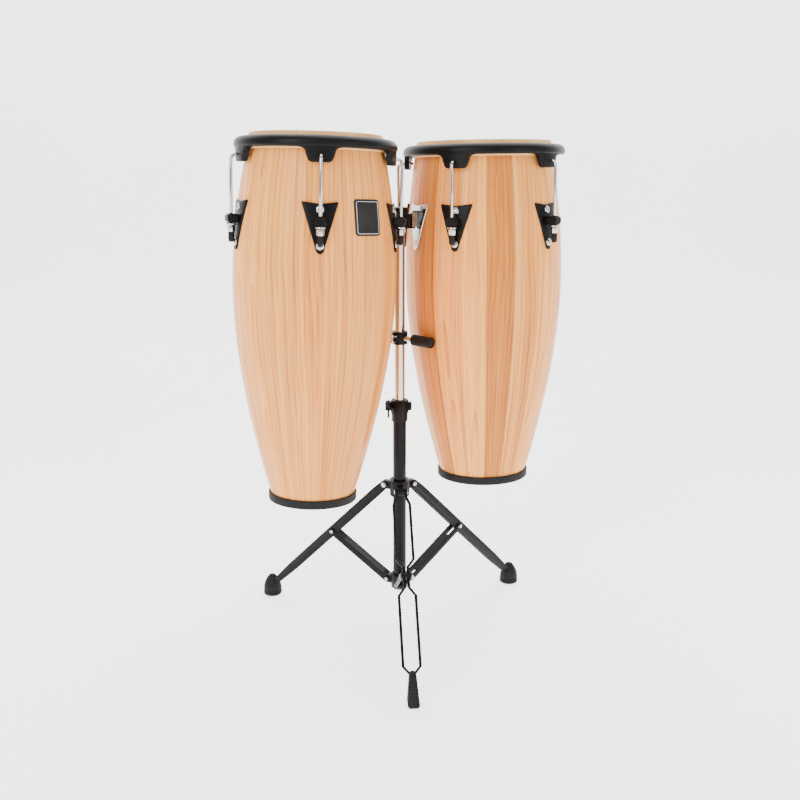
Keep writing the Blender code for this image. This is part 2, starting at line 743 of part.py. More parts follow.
def wedge_foot():
    """Tall tip that tapers upwards, leaning in along the wire leg."""
    half_depth, half_width = FRONT_FOOT_DEPTH / 2, FRONT_FOOT_WIDTH / 2
    shape = bmesh.new()
    low = Vector((-half_depth, -half_width, 0))
    high = Vector((half_depth, half_width, FRONT_FOOT_HEIGHT))
    place = Matrix.Translation((low + high) / 2) @ Matrix.Diagonal((*(high - low), 1))
    bmesh.ops.create_cube(shape, size=1, matrix=place)
    for vertex in shape.verts:
        if vertex.co.z > FRONT_FOOT_HEIGHT / 2:
            vertex.co.x = vertex.co.x * FRONT_FOOT_TAPER - FRONT_FOOT_LEAN
            vertex.co.y *= FRONT_FOOT_TAPER
    bmesh.ops.bevel(shape, geom=shape.edges[:], offset=0.0025, segments=2, affect="EDGES")
    return shape


def add_foot(side):
    """Rubber crutch tip, flat below, with a socket for the leg's end."""
    pivot, _, foot = leg_line()
    base = FOOT_BASE_RADIUS
    profile = [
        (0, FOOT_HEIGHT), (base * 0.35, FOOT_HEIGHT - 0.001),
        (base * 0.66, FOOT_HEIGHT - 0.009), (base * 0.92, 0.018), (base, 0.005),
        (base * 0.92, 0.0), (0, 0.0),
    ]
    place = spin_z(LEG_AZIMUTHS[side]) @ Matrix.Translation((foot.x, 0, 0))
    solid = wedge_foot() if side == "front" else turned(profile, 20)
    shape = add_mesh("foot_" + side, solid, "rubber", None, place)
    length = (foot - pivot).length
    slope = Matrix.Translation((-foot.x, 0, 0)) @ slope_frame(pivot, foot)
    if side == "front":
        half_width, half_depth = 0.0065 + GAP, 0.0033 + GAP
    else:
        half_width, half_depth = LEG_WIDTH / 2 + GAP, LEG_DEPTH / 2 * 0.75
    socket = block((length - 0.06, -half_width, -half_depth),
                   (length - 0.002, half_width, half_depth))
    combine(shape, [place_shape(socket, slope)], "DIFFERENCE")


def add_height_clamp():
    """Split clamp at the top of the lower tube that grips the post."""
    sleeve_low = TUBE_TOP - CLAMP_SLEEVE
    top = TUBE_TOP + CLAMP_HEIGHT
    inner = POST_RADIUS + GAP
    profile = [
        (inner, top), (CLAMP_RADIUS - 0.002, top), (CLAMP_RADIUS, top - 0.003),
        (CLAMP_RADIUS, TUBE_TOP + 0.004), (TUBE_RADIUS + 0.003, TUBE_TOP - 0.002),
        (TUBE_RADIUS + 0.003, sleeve_low), (TUBE_RADIUS + GAP, sleeve_low),
        (TUBE_RADIUS + GAP, TUBE_TOP + GAP), (inner, TUBE_TOP + GAP),
    ]
    clamp = add_mesh("height_clamp", turned(profile, 20), "black_metal")
    level = TUBE_TOP + CLAMP_HEIGHT / 2 + 0.002
    jaw = block((-CLAMP_SCREW_OUT - 0.007, -CLAMP_JAW, level - 0.009),
                (-0.014, CLAMP_JAW, level + 0.009), 0.0015)
    knuckle = block((0.014, -0.006, level - 0.010), (0.026, 0.006, level + 0.008), 0.002)
    combine(clamp, [jaw, knuckle], "UNION")
    slit = block((-0.04, -0.0012, level - 0.012), (-0.010, 0.0012, top + 0.01))
    screw = rod(SCREW_RADIUS + GAP, (-CLAMP_SCREW_OUT, -0.03, level),
                (-CLAMP_SCREW_OUT, 0.03, level), 12)
    for cut in (slit, screw):
        combine(clamp, [cut], "DIFFERENCE")
    wing_screw("clamp_wing", (-CLAMP_SCREW_OUT, 0, level), (0, -1, 0), CLAMP_JAW, 0.020, 0.021)


def wing_screw(name, place, axis, jaw_half, span, reach):
    """Screw along its local Z, with two wings beyond the jaw and a head behind."""
    turn = Vector(axis).to_track_quat("Z", "X").to_matrix().to_4x4()
    shape = rod(SCREW_RADIUS, (0, 0, -jaw_half - 0.002), (0, 0, jaw_half + 0.010), 12)
    screw = add_mesh(name, shape, "black_metal", None, Matrix.Translation(place) @ turn)
    boss = rod(0.0065, (0, 0, jaw_half + GAP), (0, 0, jaw_half + 0.011), 12)
    head = rod(0.0060, (0, 0, -jaw_half - 0.005), (0, 0, -jaw_half - GAP), 12)
    wings = []
    for way in (-1, 1):
        outline = [
            (way * 0.003, jaw_half + 0.002), (way * span * 0.75, jaw_half + reach * 0.52),
            (way * span, jaw_half + reach * 0.78), (way * span * 0.85, jaw_half + reach),
            (way * span * 0.45, jaw_half + reach * 0.74), (way * 0.003, jaw_half + 0.010),
        ]
        wings.append(plate(outline, -0.002, 0.004))
    combine(screw, [boss, head], "UNION")
    combine(screw, wings, "UNION")


def add_post():
    add_mesh("upper_post", pipe(POST_RADIUS - POST_WALL, POST_RADIUS, POST_BOTTOM,
                                POST_TOP, 20), "chrome")


def drum_mount_point(drum):
    """Frame of a drum's mounting block, and its outer and inner distances."""
    inner = shell_radius(drum, MOUNT_LEVEL - TONGUE_HEIGHT / 2) + LUG_ROOT
    place = drum_matrix(drum) @ lug_frame(drum, drum["mount_after"])
    return place, inner + MOUNT_DEPTH, inner + MOUNT_FLOOR


def add_bracket():
    """Cap of the post, with an arm and a tongue for each drum's mounting block."""
    inner = POST_RADIUS + GAP
    outer = inner + BRACKET_WALL
    high = POST_TOP + 0.004
    low = high - BRACKET_HEIGHT
    profile = [(0, high), (outer - 0.002, high), (outer, high - 0.002), (outer, low),
               (inner, low), (inner, POST_TOP + GAP), (0, POST_TOP + GAP)]
    bracket = add_mesh("top_bracket", turned(list(reversed(profile)), 20), "black_metal")
    arms = []
    for drum in DRUMS.values():
        place, mouth, floor = drum_mount_point(drum)
        half = TONGUE_THICK / 2
        tongue_low = MOUNT_LEVEL - TONGUE_HEIGHT / 2 - 0.002
        tongue_high = MOUNT_LEVEL + TONGUE_HEIGHT / 2 - MOUNT_ROOF - 2 * GAP
        tongue = block((-half, -mouth - TONGUE_ROOT, tongue_low),
                       (half, -floor - 2 * GAP, tongue_high))
        arms.append(place_shape(tongue, place))
        end = place @ Vector((0, 0.003 - mouth - TONGUE_ROOT, (tongue_low + tongue_high) / 2))
        flat = Vector((end.x, end.y, 0))
        heading = math.degrees(math.atan2(flat.y, flat.x))
        arm = block((inner + 0.001, -0.004, end.z - 0.012),
                    (flat.length + 0.001, 0.004, end.z + 0.012))
        arms.append(place_shape(arm, spin_z(heading)))
    for arm in arms:
        combine(bracket, [arm], "UNION")


def add_brace_arm():
    """Bar across the post whose rubber sleeves steady the two bellies."""
    inner = POST_RADIUS + GAP
    half = ARM_CLAMP_HEIGHT / 2
    matrix = Matrix.Translation((0, 0, ARM_HEIGHT)) @ spin_z(ARM_AZIMUTH)
    arm = add_mesh("brace_arm", pipe(inner, inner + ARM_CLAMP_WALL, -half, half, 20),
                   "chrome", None, matrix)
    stubs = []
    for way in (-1, 1):
        stubs.append(rod(ARM_ROD_RADIUS, (way * (inner + 0.002), 0, 0),
                         (way * (ARM_REACH - 0.004), 0, 0), 12))
    jaw = block((-ARM_JAW, -ARM_SCREW_OFFSET - 0.0065, -0.008),
                (ARM_JAW, -inner - 0.002, 0.008), 0.0015)
    combine(arm, stubs + [jaw], "UNION")
    screw = rod(SCREW_RADIUS + GAP, (-0.02, -ARM_SCREW_OFFSET, 0),
                (0.02, -ARM_SCREW_OFFSET, 0), 12)
    combine(arm, [screw], "DIFFERENCE")
    for side, way in (("right", 1), ("left", -1)):
        bore_radius = ARM_ROD_RADIUS + GAP
        low = ARM_REACH - SLEEVE_LENGTH
        profile = [
            (0, ARM_REACH), (SLEEVE_RADIUS - 0.0015, ARM_REACH),
            (SLEEVE_RADIUS, ARM_REACH - 0.0015), (SLEEVE_RADIUS, low + 0.001),
            (SLEEVE_RADIUS - 0.001, low), (bore_radius, low),
            (bore_radius, ARM_REACH - 0.0037), (0, ARM_REACH - 0.0037),
        ]
        turn = Matrix.Rotation(math.radians(90 * way), 4, "Y")
        add_mesh("brace_sleeve_" + side, turned(profile, 16), "rubber", None, matrix @ turn)
    place = matrix @ Vector((0, -ARM_SCREW_OFFSET, 0))
    axis = matrix.to_3x3() @ Vector((-1, 0, 0))
    wing_screw("brace_knob", place, axis, ARM_JAW, 0.009, 0.014)


def stand_on_origin():
    """Carry everything on one empty, with the middle of its box over the origin."""
    assembly = add_empty("assembly", Matrix.Identity(4))
    for thing in bpy.context.scene.objects:
        if thing.parent is None and thing is not assembly:
            thing.parent = assembly
    bpy.context.view_layer.update()
    graph = bpy.context.evaluated_depsgraph_get()
    low, high = Vector((9, 9, 9)), Vector((-9, -9, -9))
    for thing in bpy.context.scene.objects:
        if thing.type == "EMPTY" or thing.hide_render:
            continue
        shape = thing.evaluated_get(graph)
        mesh = shape.to_mesh()
        for vertex in mesh.vertices:
            place = shape.matrix_world @ vertex.co
            low = Vector(map(min, low, place))
            high = Vector(map(max, high, place))
        shape.to_mesh_clear()
    middle = (low + high) / 2
    assembly.location = (-middle.x, -middle.y, 0)


def build():
    clear_scene()
    for side, drum in DRUMS.items():
        add_drum(side, drum)
    add_tube()
    add_collar()
    add_hub()
    add_channel_leg("left")
    add_channel_leg("right")
    add_wire_leg()
    for side in LEG_AZIMUTHS:
        add_brace(side)
        add_foot(side)
    add_height_clamp()
    add_post()
    add_bracket()
    add_brace_arm()
    stand_on_origin()


build()
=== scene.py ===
import json
import math

import bmesh
import bpy
import numpy as np
from mathutils import Matrix, Vector


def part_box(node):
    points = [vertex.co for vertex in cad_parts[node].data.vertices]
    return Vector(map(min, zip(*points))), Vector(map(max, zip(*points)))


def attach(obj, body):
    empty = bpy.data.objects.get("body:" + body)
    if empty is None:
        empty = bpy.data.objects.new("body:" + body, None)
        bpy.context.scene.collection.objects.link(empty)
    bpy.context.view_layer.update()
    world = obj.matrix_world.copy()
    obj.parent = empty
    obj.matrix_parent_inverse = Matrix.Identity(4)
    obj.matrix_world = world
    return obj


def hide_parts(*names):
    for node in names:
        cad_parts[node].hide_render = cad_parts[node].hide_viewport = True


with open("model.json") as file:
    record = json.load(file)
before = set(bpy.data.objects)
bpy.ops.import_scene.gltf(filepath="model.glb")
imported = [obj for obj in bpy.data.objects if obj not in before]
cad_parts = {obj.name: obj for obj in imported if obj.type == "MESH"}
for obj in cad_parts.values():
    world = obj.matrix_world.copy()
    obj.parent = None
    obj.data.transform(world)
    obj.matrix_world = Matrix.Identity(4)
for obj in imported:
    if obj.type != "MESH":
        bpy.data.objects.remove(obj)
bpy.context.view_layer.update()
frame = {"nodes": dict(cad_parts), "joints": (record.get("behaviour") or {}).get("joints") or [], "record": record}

NODES = frame["nodes"]
JOINTS = {joint["name"]: joint for joint in frame["joints"]}
BODY = {
    node: body
    for body, members in frame["record"]["behaviour"]["bodies"].items()
    for node in members
}
SIDES = ("left", "right")
LEGS = ("left", "right", "front")
LUGS = 5
LUG_TURN = 72                          # degrees from one lug to the next
HALF_TURN = 36                         # degrees from a lug to the middle of the gap beside it

# ------------------------------------------------------------------ sizes, metres
SHELL_WALL = 0.009
RIM_BAND = 0.021
RIM_ROLL = 0.013
EAR_WIDTHS = (0.082, 0.054, 0.042)     # at the rim, at the neck and at the foot
EAR_NECK_DROP = 0.010
EAR_THICKNESS = 0.0105
ROD_RADIUS = 0.00315
ROD_BEND = 0.010
PLATE_THICKNESS = 0.0030
PLATE_LIFT = 0.0008
PLATE_NOTCH = 0.004
PLATE_BEVEL = 0.0012
PLATE_TIP = 0.0052                     # half the width of the plate's lower end
PLATE_CORNERS = (0.0028, 0.0048)       # radii of its upper corners and its tip
PLATE_ROWS = 14
HIGH_SCREW = 0.0135                    # below the plate's top
LOW_SCREW = 0.0145                     # above the plate's tip
SCREW_HEAD = 0.0075
MOUNT_SCREW_RISE = 0.25                # flat enough to pass the tongue as the drum lifts
BADGE_WIDTH = 0.060
BADGE_HEIGHT = 0.066
BADGE_LEVEL = 0.565                    # middle of the badge above the shell's foot
BLOCK_WIDTH = 0.024
BLOCK_HEIGHT = 0.016
LEG_BOLT = 0.0050
BRACE_BOLT = 0.0042
BRACE_END = 0.0068                     # from a brace's far end to its pivot
BOLT_REACH = 0.012                     # of the cheek that a bolt's head sits on
ARM_CLAMP_REACH = 0.021                # of the bar's black clamp round the post
FLOOR_REACH = 9.0
STAVES = 18
STAVE_WIDTH = 0.052

# ------------------------------------------------------------------ wood colours
WOOD_PALE = (0.98, 0.43, 0.105)
WOOD_MIDDLE = (0.78, 0.28, 0.050)
WOOD_DARK = (0.36, 0.095, 0.013)
WOOD_PORE = (0.14, 0.040, 0.009)

# ------------------------------------------------------------------ camera
FOCAL_PIXELS = 1022.0
PICTURE_PIXELS = 800.0
SENSOR = 36.0
CAMERA_PITCH = 16.8
CAMERA_DISTANCE = 2.101
CAMERA_HEIGHT = 1.164
POST_COLUMN = 399.6                    # picture column of the post's axis

# ------------------------------------------------------------------ light
LIGHT_TARGET = (0, 0, 0.62)
LIGHTS = (                             # name, place, width, height, watts
    ("key_light", (-1.7, -2.6, 2.3), 1.6, 2.0, 85.0),
    ("fill_light", (2.4, -1.9, 1.5), 1.4, 2.2, 30.0),
    ("top_light", (0.2, 0.6, 3.1), 2.4, 2.0, 60.0),
)
WORLD_STRENGTH = 0.75
BACKDROP_GLOW = 2.0


# ------------------------------------------------------------------ materials
class Nodes:
    """A material's node tree, with one call for each node and its links."""

    def __init__(self, name):
        self.material = bpy.data.materials.new(name)
        self.material.use_nodes = True
        self.tree = self.material.node_tree
        self.shader = self.tree.nodes["Principled BSDF"]

    def add(self, kind, settings=None, **inputs):
        node = self.tree.nodes.new("ShaderNode" + kind)
        for name, value in (settings or {}).items():
            setattr(node, name, value)
        for name, value in inputs.items():
            self.feed(node, name, value)
        return node

    def feed(self, node, name, value):
        socket = node.inputs[int(name[1:])] if name[0] == "i" and name[1:].isdigit() \
            else node.inputs[name.replace("_", " ")]
        if isinstance(value, bpy.types.NodeSocket):
            self.tree.links.new(value, socket)
        else:
            socket.default_value = value

    def math(self, operation, first, second=0.0):
        node = self.add("Math", {"operation": operation}, i0=first, i1=second)
        return node.outputs[0]

    def noise(self, vector, scale, detail=4.0, roughness=0.55, distortion=0.0):
        node = self.add("TexNoise", Vector=vector, Scale=scale, Detail=detail,
                        Roughness=roughness, Distortion=distortion)
        return node.outputs["Fac"]

    def ramp(self, factor, stops):
        node = self.add("ValToRGB", Fac=factor)
        ramp = node.color_ramp
        while len(ramp.elements) < len(stops):
            ramp.elements.new(0.5)
        for element, (place, colour) in zip(ramp.elements, stops):
            element.position = place
            element.color = (*colour, 1)
        return node.outputs["Color"]

    def spread(self, value, low, high, start=0.3, end=0.7):
        node = self.add("MapRange", Value=value, From_Min=start, From_Max=end,
                        To_Min=low, To_Max=high)
        return node.outputs[0]

    def mix(self, factor, first, second, blend="MIX"):
        node = self.tree.nodes.new("ShaderNodeMix")
        node.data_type = "RGBA"
        node.blend_type = blend
        for socket, value in ((node.inputs[0], factor), (node.inputs[6], first),
                              (node.inputs[7], second)):
            if isinstance(value, bpy.types.NodeSocket):
                self.tree.links.new(value, socket)
            else:
                socket.default_value = value
        return node.outputs[2]

    def bump(self, height, strength, distance, before=None):
        node = self.add("Bump", Height=height, Strength=strength, Distance=distance)
        if before:
            self.tree.links.new(before, node.inputs["Normal"])
        return node.outputs["Normal"]

    def place(self):
        return self.tree.nodes.new("ShaderNodeTexCoord").outputs["Object"]

    def finish(self, **inputs):
        for name, value in inputs.items():
            self.feed(self.shader, name, value)
        return self.material


def wood_material(name, drum, seed, darkest_stave_and_shade):
    """Glued staves of pale wood under a satin lacquer, grain running up the drum."""
    n = Nodes(name)
    back = drum.inverted()
    local = n.add("Mapping", {"vector_type": "POINT"}, Vector=n.place(),
                  Location=back.translation, Rotation=back.to_euler())
    split = n.add("SeparateXYZ", Vector=local.outputs[0])
    height = split.outputs[2]
    turn = n.math("ARCTAN2", split.outputs[1], split.outputs[0])
    along = n.math("ADD", n.math("MULTIPLY", turn, STAVES / math.tau), seed)
    tone = n.add("TexWhiteNoise", {"noise_dimensions": "1D"},
                 W=n.math("FLOOR", along)).outputs["Value"]
    offset = n.math("SUBTRACT", n.math("FRACT", along), 0.5)
    seam = n.spread(n.math("ABSOLUTE", offset), 0.0, 1.0, 0.484, 0.499)
    across = n.math("MULTIPLY", offset, STAVE_WIDTH)
    shift = n.math("MULTIPLY", tone, 9.1)

    slow = n.add("CombineXYZ", X=across, Y=shift, Z=n.math("MULTIPLY", height, 0.22))
    wander = n.noise(slow.outputs[0], 13.0, 2.0, 0.5)
    slant = n.math("MULTIPLY", n.math("SUBTRACT", tone, 0.35), height)
    arch = n.math("MULTIPLY", n.math("MULTIPLY", across, across), 34.0)
    arch = n.math("ADD", arch, n.math("MULTIPLY", slant, 0.052))
    flat_sawn = n.math("GREATER_THAN", tone, 0.55)
    sheet = n.math("ADD", n.math("MULTIPLY", arch, flat_sawn),
                   n.math("MULTIPLY", across, n.math("SUBTRACT", 1.0, flat_sawn)))
    sheet = n.math("ADD", sheet, n.math("MULTIPLY", wander, 0.042))
    ring = n.math("FRACT", n.math("MULTIPLY", sheet, 105.0))
    late = n.math("POWER", ring, 2.2)
    long_place = n.add("CombineXYZ", X=across, Y=shift, Z=n.math("MULTIPLY", height, 0.018))
    fibre = n.noise(long_place.outputs[0], 520.0, 4.0, 0.6)
    pores = n.noise(long_place.outputs[0], 1500.0, 2.0, 0.5)
    broad = n.noise(long_place.outputs[0], 85.0, 3.0, 0.55)

    streak = n.math("ADD", n.math("MULTIPLY", late, 0.15), n.math("MULTIPLY", fibre, 0.30))
    streak = n.math("ADD", streak, n.math("MULTIPLY", broad, 0.68))
    colour = n.ramp(streak, ((0.40, WOOD_PALE), (0.60, WOOD_MIDDLE), (0.80, WOOD_DARK)))
    # Per-stave tone. Its low end is partly the staves' own variation and partly painted shade: it is set darker on
    # the right drum, where the left drum shades it.
    warm = n.spread(tone, darkest_stave_and_shade, 1.06, 0.0, 0.8)
    tint = n.add("CombineXYZ", X=warm, Y=n.math("POWER", warm, 1.35),
                 Z=n.math("POWER", warm, 1.9))
    colour = n.mix(1.0, colour, tint.outputs[0], "MULTIPLY")
    pore_mask = n.math("MULTIPLY", n.spread(pores, 0.0, 0.30, 0.58, 0.72), late)
    colour = n.mix(pore_mask, colour, (*WOOD_PORE, 1))
    colour = n.mix(n.math("MULTIPLY", seam, 0.55), colour, (*WOOD_PORE, 1))
    rough = n.spread(n.noise(n.place(), 9.0, 3.0), 0.24, 0.38)
    relief = n.bump(fibre, 0.10, 0.0005)
    relief = n.bump(pore_mask, 0.10, 0.0004, relief)
    return n.finish(Base_Color=colour, Roughness=rough, Normal=relief, Coat_Weight=0.04,
                    Coat_Roughness=0.20, Specular_IOR_Level=0.12)


def skin_material():
    """Rawhide: cream, cloudy, with faint fibres and a dry sheen."""
    n = Nodes("rawhide")
    cloud = n.noise(n.place(), 11.0, 6.0, 0.6, 0.5)
    fibre = n.noise(n.place(), 95.0, 5.0, 0.7, 1.2)
    fleck = n.noise(n.place(), 260.0, 3.0, 0.6)
    colour = n.ramp(cloud, ((0.30, (0.56, 0.29, 0.100)), (0.52, (0.76, 0.44, 0.170)),
                            (0.72, (0.86, 0.56, 0.26))))
    colour = n.mix(n.spread(fibre, 0.0, 0.35, 0.52, 0.75), colour, (0.38, 0.19, 0.07, 1))
    rough = n.spread(fibre, 0.48, 0.66)
    relief = n.bump(fibre, 0.22, 0.0008)
    relief = n.bump(fleck, 0.15, 0.0003, relief)
    return n.finish(Base_Color=colour, Roughness=rough, Normal=relief,
                    Subsurface_Weight=0.08, Sheen_Weight=0.1, Specular_IOR_Level=0.35)


def painted_material(name, colour, rough, grit, metal=0.0):
    """Powder coat: fine orange peel, with worn gloss on handled places."""
    n = Nodes(name)
    peel = n.noise(n.place(), grit, 3.0, 0.6)
    wear = n.noise(n.place(), 14.0, 5.0, 0.65)
    tone = n.ramp(wear, ((0.35, colour), (0.70, tuple(value * 1.9 for value in colour))))
    gloss = n.spread(wear, rough * 0.8, rough * 1.25)
    return n.finish(Base_Color=tone, Roughness=gloss, Metallic=metal,
                    Normal=n.bump(peel, 0.12, 0.0003), Specular_IOR_Level=0.11)


def chrome_material(name, colour, low, high):
    """Plated steel: mirror bright, with faint wiping marks."""
    n = Nodes(name)
    stretch = n.add("VectorMath", {"operation": "MULTIPLY"}, i0=n.place(), i1=(1.0, 1.0, 0.12))
    haze = n.noise(n.place(), 22.0, 5.0, 0.6)
    wipe = n.noise(stretch.outputs[0], 320.0, 3.0, 0.6)
    tone = n.ramp(haze, ((0.3, colour), (0.75, tuple(value * 0.90 for value in colour))))
    gloss = n.spread(n.math("ADD", haze, n.math("MULTIPLY", wipe, 0.4)), low, high, 0.45, 0.95)
    return n.finish(Base_Color=tone, Metallic=1.0, Roughness=gloss,
                    Normal=n.bump(wipe, 0.03, 0.0002))


def rubber_material(name, pitch):
    """Moulded rubber: matt, dusty, with moulding ribs where the pitch isn't zero."""
    n = Nodes(name)
    grain = n.noise(n.place(), 420.0, 4.0, 0.65)
    dust = n.noise(n.place(), 17.0, 5.0, 0.6)
    tone = n.ramp(dust, ((0.35, (0.005, 0.005, 0.005)), (0.80, (0.014, 0.0135, 0.013))))
    relief = n.bump(grain, 0.25, 0.0004)
    if pitch:
        height = n.add("SeparateXYZ", Vector=n.place()).outputs[2]
        wave = n.math("SINE", n.math("MULTIPLY", height, math.tau / pitch))
        relief = n.bump(wave, 0.5, 0.0006, relief)
    return n.finish(Base_Color=tone, Roughness=n.spread(dust, 0.58, 0.80), Normal=relief,
                    Specular_IOR_Level=0.2)


def backdrop_material():
    n = Nodes("backdrop")
    tooth = n.noise(n.place(), 60.0, 4.0)
    tone = n.ramp(n.noise(n.place(), 0.9, 3.0), ((0.3, (0.93, 0.93, 0.93)),
                                                 (0.7, (0.96, 0.96, 0.96))))
    return n.finish(Base_Color=tone, Roughness=n.spread(tooth, 0.75, 0.90),
                    Normal=n.bump(tooth, 0.03, 0.0005), Emission_Color=tone,
                    Emission_Strength=BACKDROP_GLOW)


MATERIALS = {
    "skin": (skin_material(), "skin"),
    "gloss_black": (painted_material("rim_black", (0.0035, 0.0033, 0.0033), 0.38, 900.0),
                    "black_metal"),
    "black": (painted_material("stand_black", (0.0035, 0.0033, 0.0031), 0.36, 700.0),
              "black_metal"),
    "badge": (painted_material("badge_black", (0.012, 0.011, 0.011), 0.30, 500.0),
              "black_metal"),
    "cap": (rubber_material("cap_plastic", 0.0), "rubber"),
    "rubber": (rubber_material("rubber_plain", 0.0), "rubber"),
    "ribbed": (rubber_material("rubber_ribbed", 0.006), "rubber"),
    "chrome": (chrome_material("chrome_bright", (0.57, 0.545, 0.53), 0.05, 0.16), "chrome"),
    "steel": (chrome_material("steel_zinc", (0.50, 0.49, 0.49), 0.22, 0.38), "chrome"),
}


# ------------------------------------------------------------------ mesh helpers
def to_mesh(name, shape, angle=40.0):
    bmesh.ops.recalc_face_normals(shape, faces=shape.faces)
    mesh = bpy.data.meshes.new(name)
    shape.to_mesh(mesh)
    shape.free()
    mesh.shade_smooth()
    mesh.set_sharp_from_angle(angle=math.radians(angle))
    return mesh


def piece(name, mesh, finish, body, place, stands_for=()):
    """A shown piece built in the frame of place, riding a body and taking its finish's material."""
    material, slot = MATERIALS[finish]
    mesh.transform(place)
    mesh.materials.append(material)
    thing = bpy.data.objects.new(name, mesh)
    bpy.context.scene.collection.objects.link(thing)
    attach(thing, body)
    if stands_for:
        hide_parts(*stands_for)
    return thing


def dress(node, finish, bevel=0.0):
    """Gives a shown CAD node its finish, and rounds its edges."""
    thing = NODES[node]
    material, slot = MATERIALS[finish]
    thing.data.materials.clear()
    thing.data.materials.append(material)
    if bevel:
        weld = thing.modifiers.new("weld", "WELD")
        weld.merge_threshold = 0.00002
        round_off = thing.modifiers.new("round", "BEVEL")
        round_off.width = bevel
        round_off.segments = 3
        round_off.limit_method = "ANGLE"
        round_off.angle_limit = math.radians(38)
        round_off.harden_normals = True
    for polygon in thing.data.polygons:
        polygon.use_smooth = True


def paint_near(node, finish, centre, reach):
    """A second finish on a CAD node's faces within reach of an upright axis."""
    thing = NODES[node]
    thing.data.materials.append(MATERIALS[finish][0])
    for polygon in thing.data.polygons:
        offset = polygon.center - Vector((*centre, polygon.center.z))
        if offset.length < reach:
            polygon.material_index = 1


def measured(node, place):
    """A CAD node's points as an array, in the frame of place."""
    back = place.inverted()
    return np.array([back @ vertex.co for vertex in NODES[node].data.vertices])


def spin(degrees):
    return Matrix.Rotation(math.radians(degrees), 4, "Z")


def axes(origin, along, up):
    """Frame at origin with +Z along a direction and -Y towards up."""
    z = Vector(along).normalized()
    y = -(Vector(up) - z * Vector(up).dot(z)).normalized()
    x = y.cross(z)
    place = Matrix((x, y, z)).transposed().to_4x4()
    place.translation = origin
    return place


def arc(centre, radius, start, end, steps, squash=1.0):
    """Points (radius, height) on an ellipse quarter, both ends included."""
    points = []
    for step in range(steps + 1):
        angle = math.radians(start + (end - start) * step / steps)
        points.append((centre[0] + radius * squash * math.cos(angle),
                       centre[1] + radius * math.sin(angle)))
    return points


def lathe(profile, sides=96, closed=True):
    """Outline of (radius, height) points turned round Z, fanned at the axis."""
    shape = bmesh.new()
    rings = []
    for radius, height in profile:
        if radius < 1e-6:
            rings.append([shape.verts.new((0, 0, height))])
            continue
        ring = []
        for side in range(sides):
            angle = math.tau * side / sides
            ring.append(shape.verts.new((radius * math.cos(angle), radius * math.sin(angle),
                                         height)))
        rings.append(ring)
    pairs = list(zip(rings, rings[1:]))
    if closed:
        pairs.append((rings[-1], rings[0]))
    for first, second in pairs:
        if len(first) == 1 and len(second) == 1:
            continue
        for side in range(sides):
            after = (side + 1) % sides
            if len(first) == 1:
                corners = (first[0], second[after], second[side])
            elif len(second) == 1:
                corners = (first[side], first[after], second[0])
            else:
                corners = (first[side], first[after], second[after], second[side])
            shape.faces.new(corners)
    return shape


def swept(points, radius, sides=16):
    """Round bar along a path, with rounded ends."""
    points = [Vector(point) for point in points]
    shape = bmesh.new()
    heading = (points[1] - points[0]).normalized()
    normal = heading.orthogonal().normalized()
    rings = []
    last = len(points) - 1
    for index, point in enumerate(points):
        ahead = points[min(index + 1, last)] - points[max(index - 1, 0)]
        turn = heading.rotation_difference(ahead.normalized())
        heading = ahead.normalized()
        normal = (turn @ normal).normalized()
        across = heading.cross(normal)
        sizes = [(0.0, 1.0)]
        if index == 0:
            sizes = [(-0.5, 0.35), (-0.35, 0.8), (0.0, 1.0)]
        if index == last:
            sizes = [(0.0, 1.0), (0.35, 0.8), (0.5, 0.35)]
        for ahead_share, share in sizes:
            ring = []
            for side in range(sides):
                angle = math.tau * side / sides
                offset = normal * math.cos(angle) + across * math.sin(angle)
                ring.append(shape.verts.new(point + heading * radius * ahead_share
                                            + offset * radius * share))
            rings.append(ring)
    for first, second in zip(rings, rings[1:]):
        for side in range(sides):
            after = (side + 1) % sides
            shape.faces.new((first[side], first[after], second[after], second[side]))
    shape.faces.new(rings[0])
    shape.faces.new(rings[-1])
    return shape


def rounded_box(low, high, bevel):
    low, high = Vector(low), Vector(high)
    shape = bmesh.new()
    place = Matrix.Translation((low + high) / 2) @ Matrix.Diagonal((*(high - low), 1))
    bmesh.ops.create_cube(shape, size=1, matrix=place)
    bmesh.ops.bevel(shape, geom=shape.edges[:], offset=bevel, segments=3, affect="EDGES")
    return shape


def rounded_rows(top, bottom, half_top, half_bottom, top_corner, bottom_corner, middle=10):
    """Rows (height, half width) of a tapered plate with rounded corners."""
    levels = [top - top_corner * (1 - math.cos(math.radians(15 * step))) for step in range(7)]
    first, last = top - top_corner, bottom + bottom_corner
    levels += [first + (last - first) * step / middle for step in range(1, middle)]
    levels += [bottom + bottom_corner * (1 - math.sin(math.radians(15 * step)))
               for step in range(7)]
    rows = []
    for level in levels:
        share = (top - level) / (top - bottom)
        half = half_top + (half_bottom - half_top) * share
        for depth, corner in ((top - level, top_corner), (level - bottom, bottom_corner)):
            if depth < corner:
                half -= corner - math.sqrt(max(corner ** 2 - (corner - depth) ** 2, 0))
        rows.append((level, max(half, 0.0004)))
    return rows


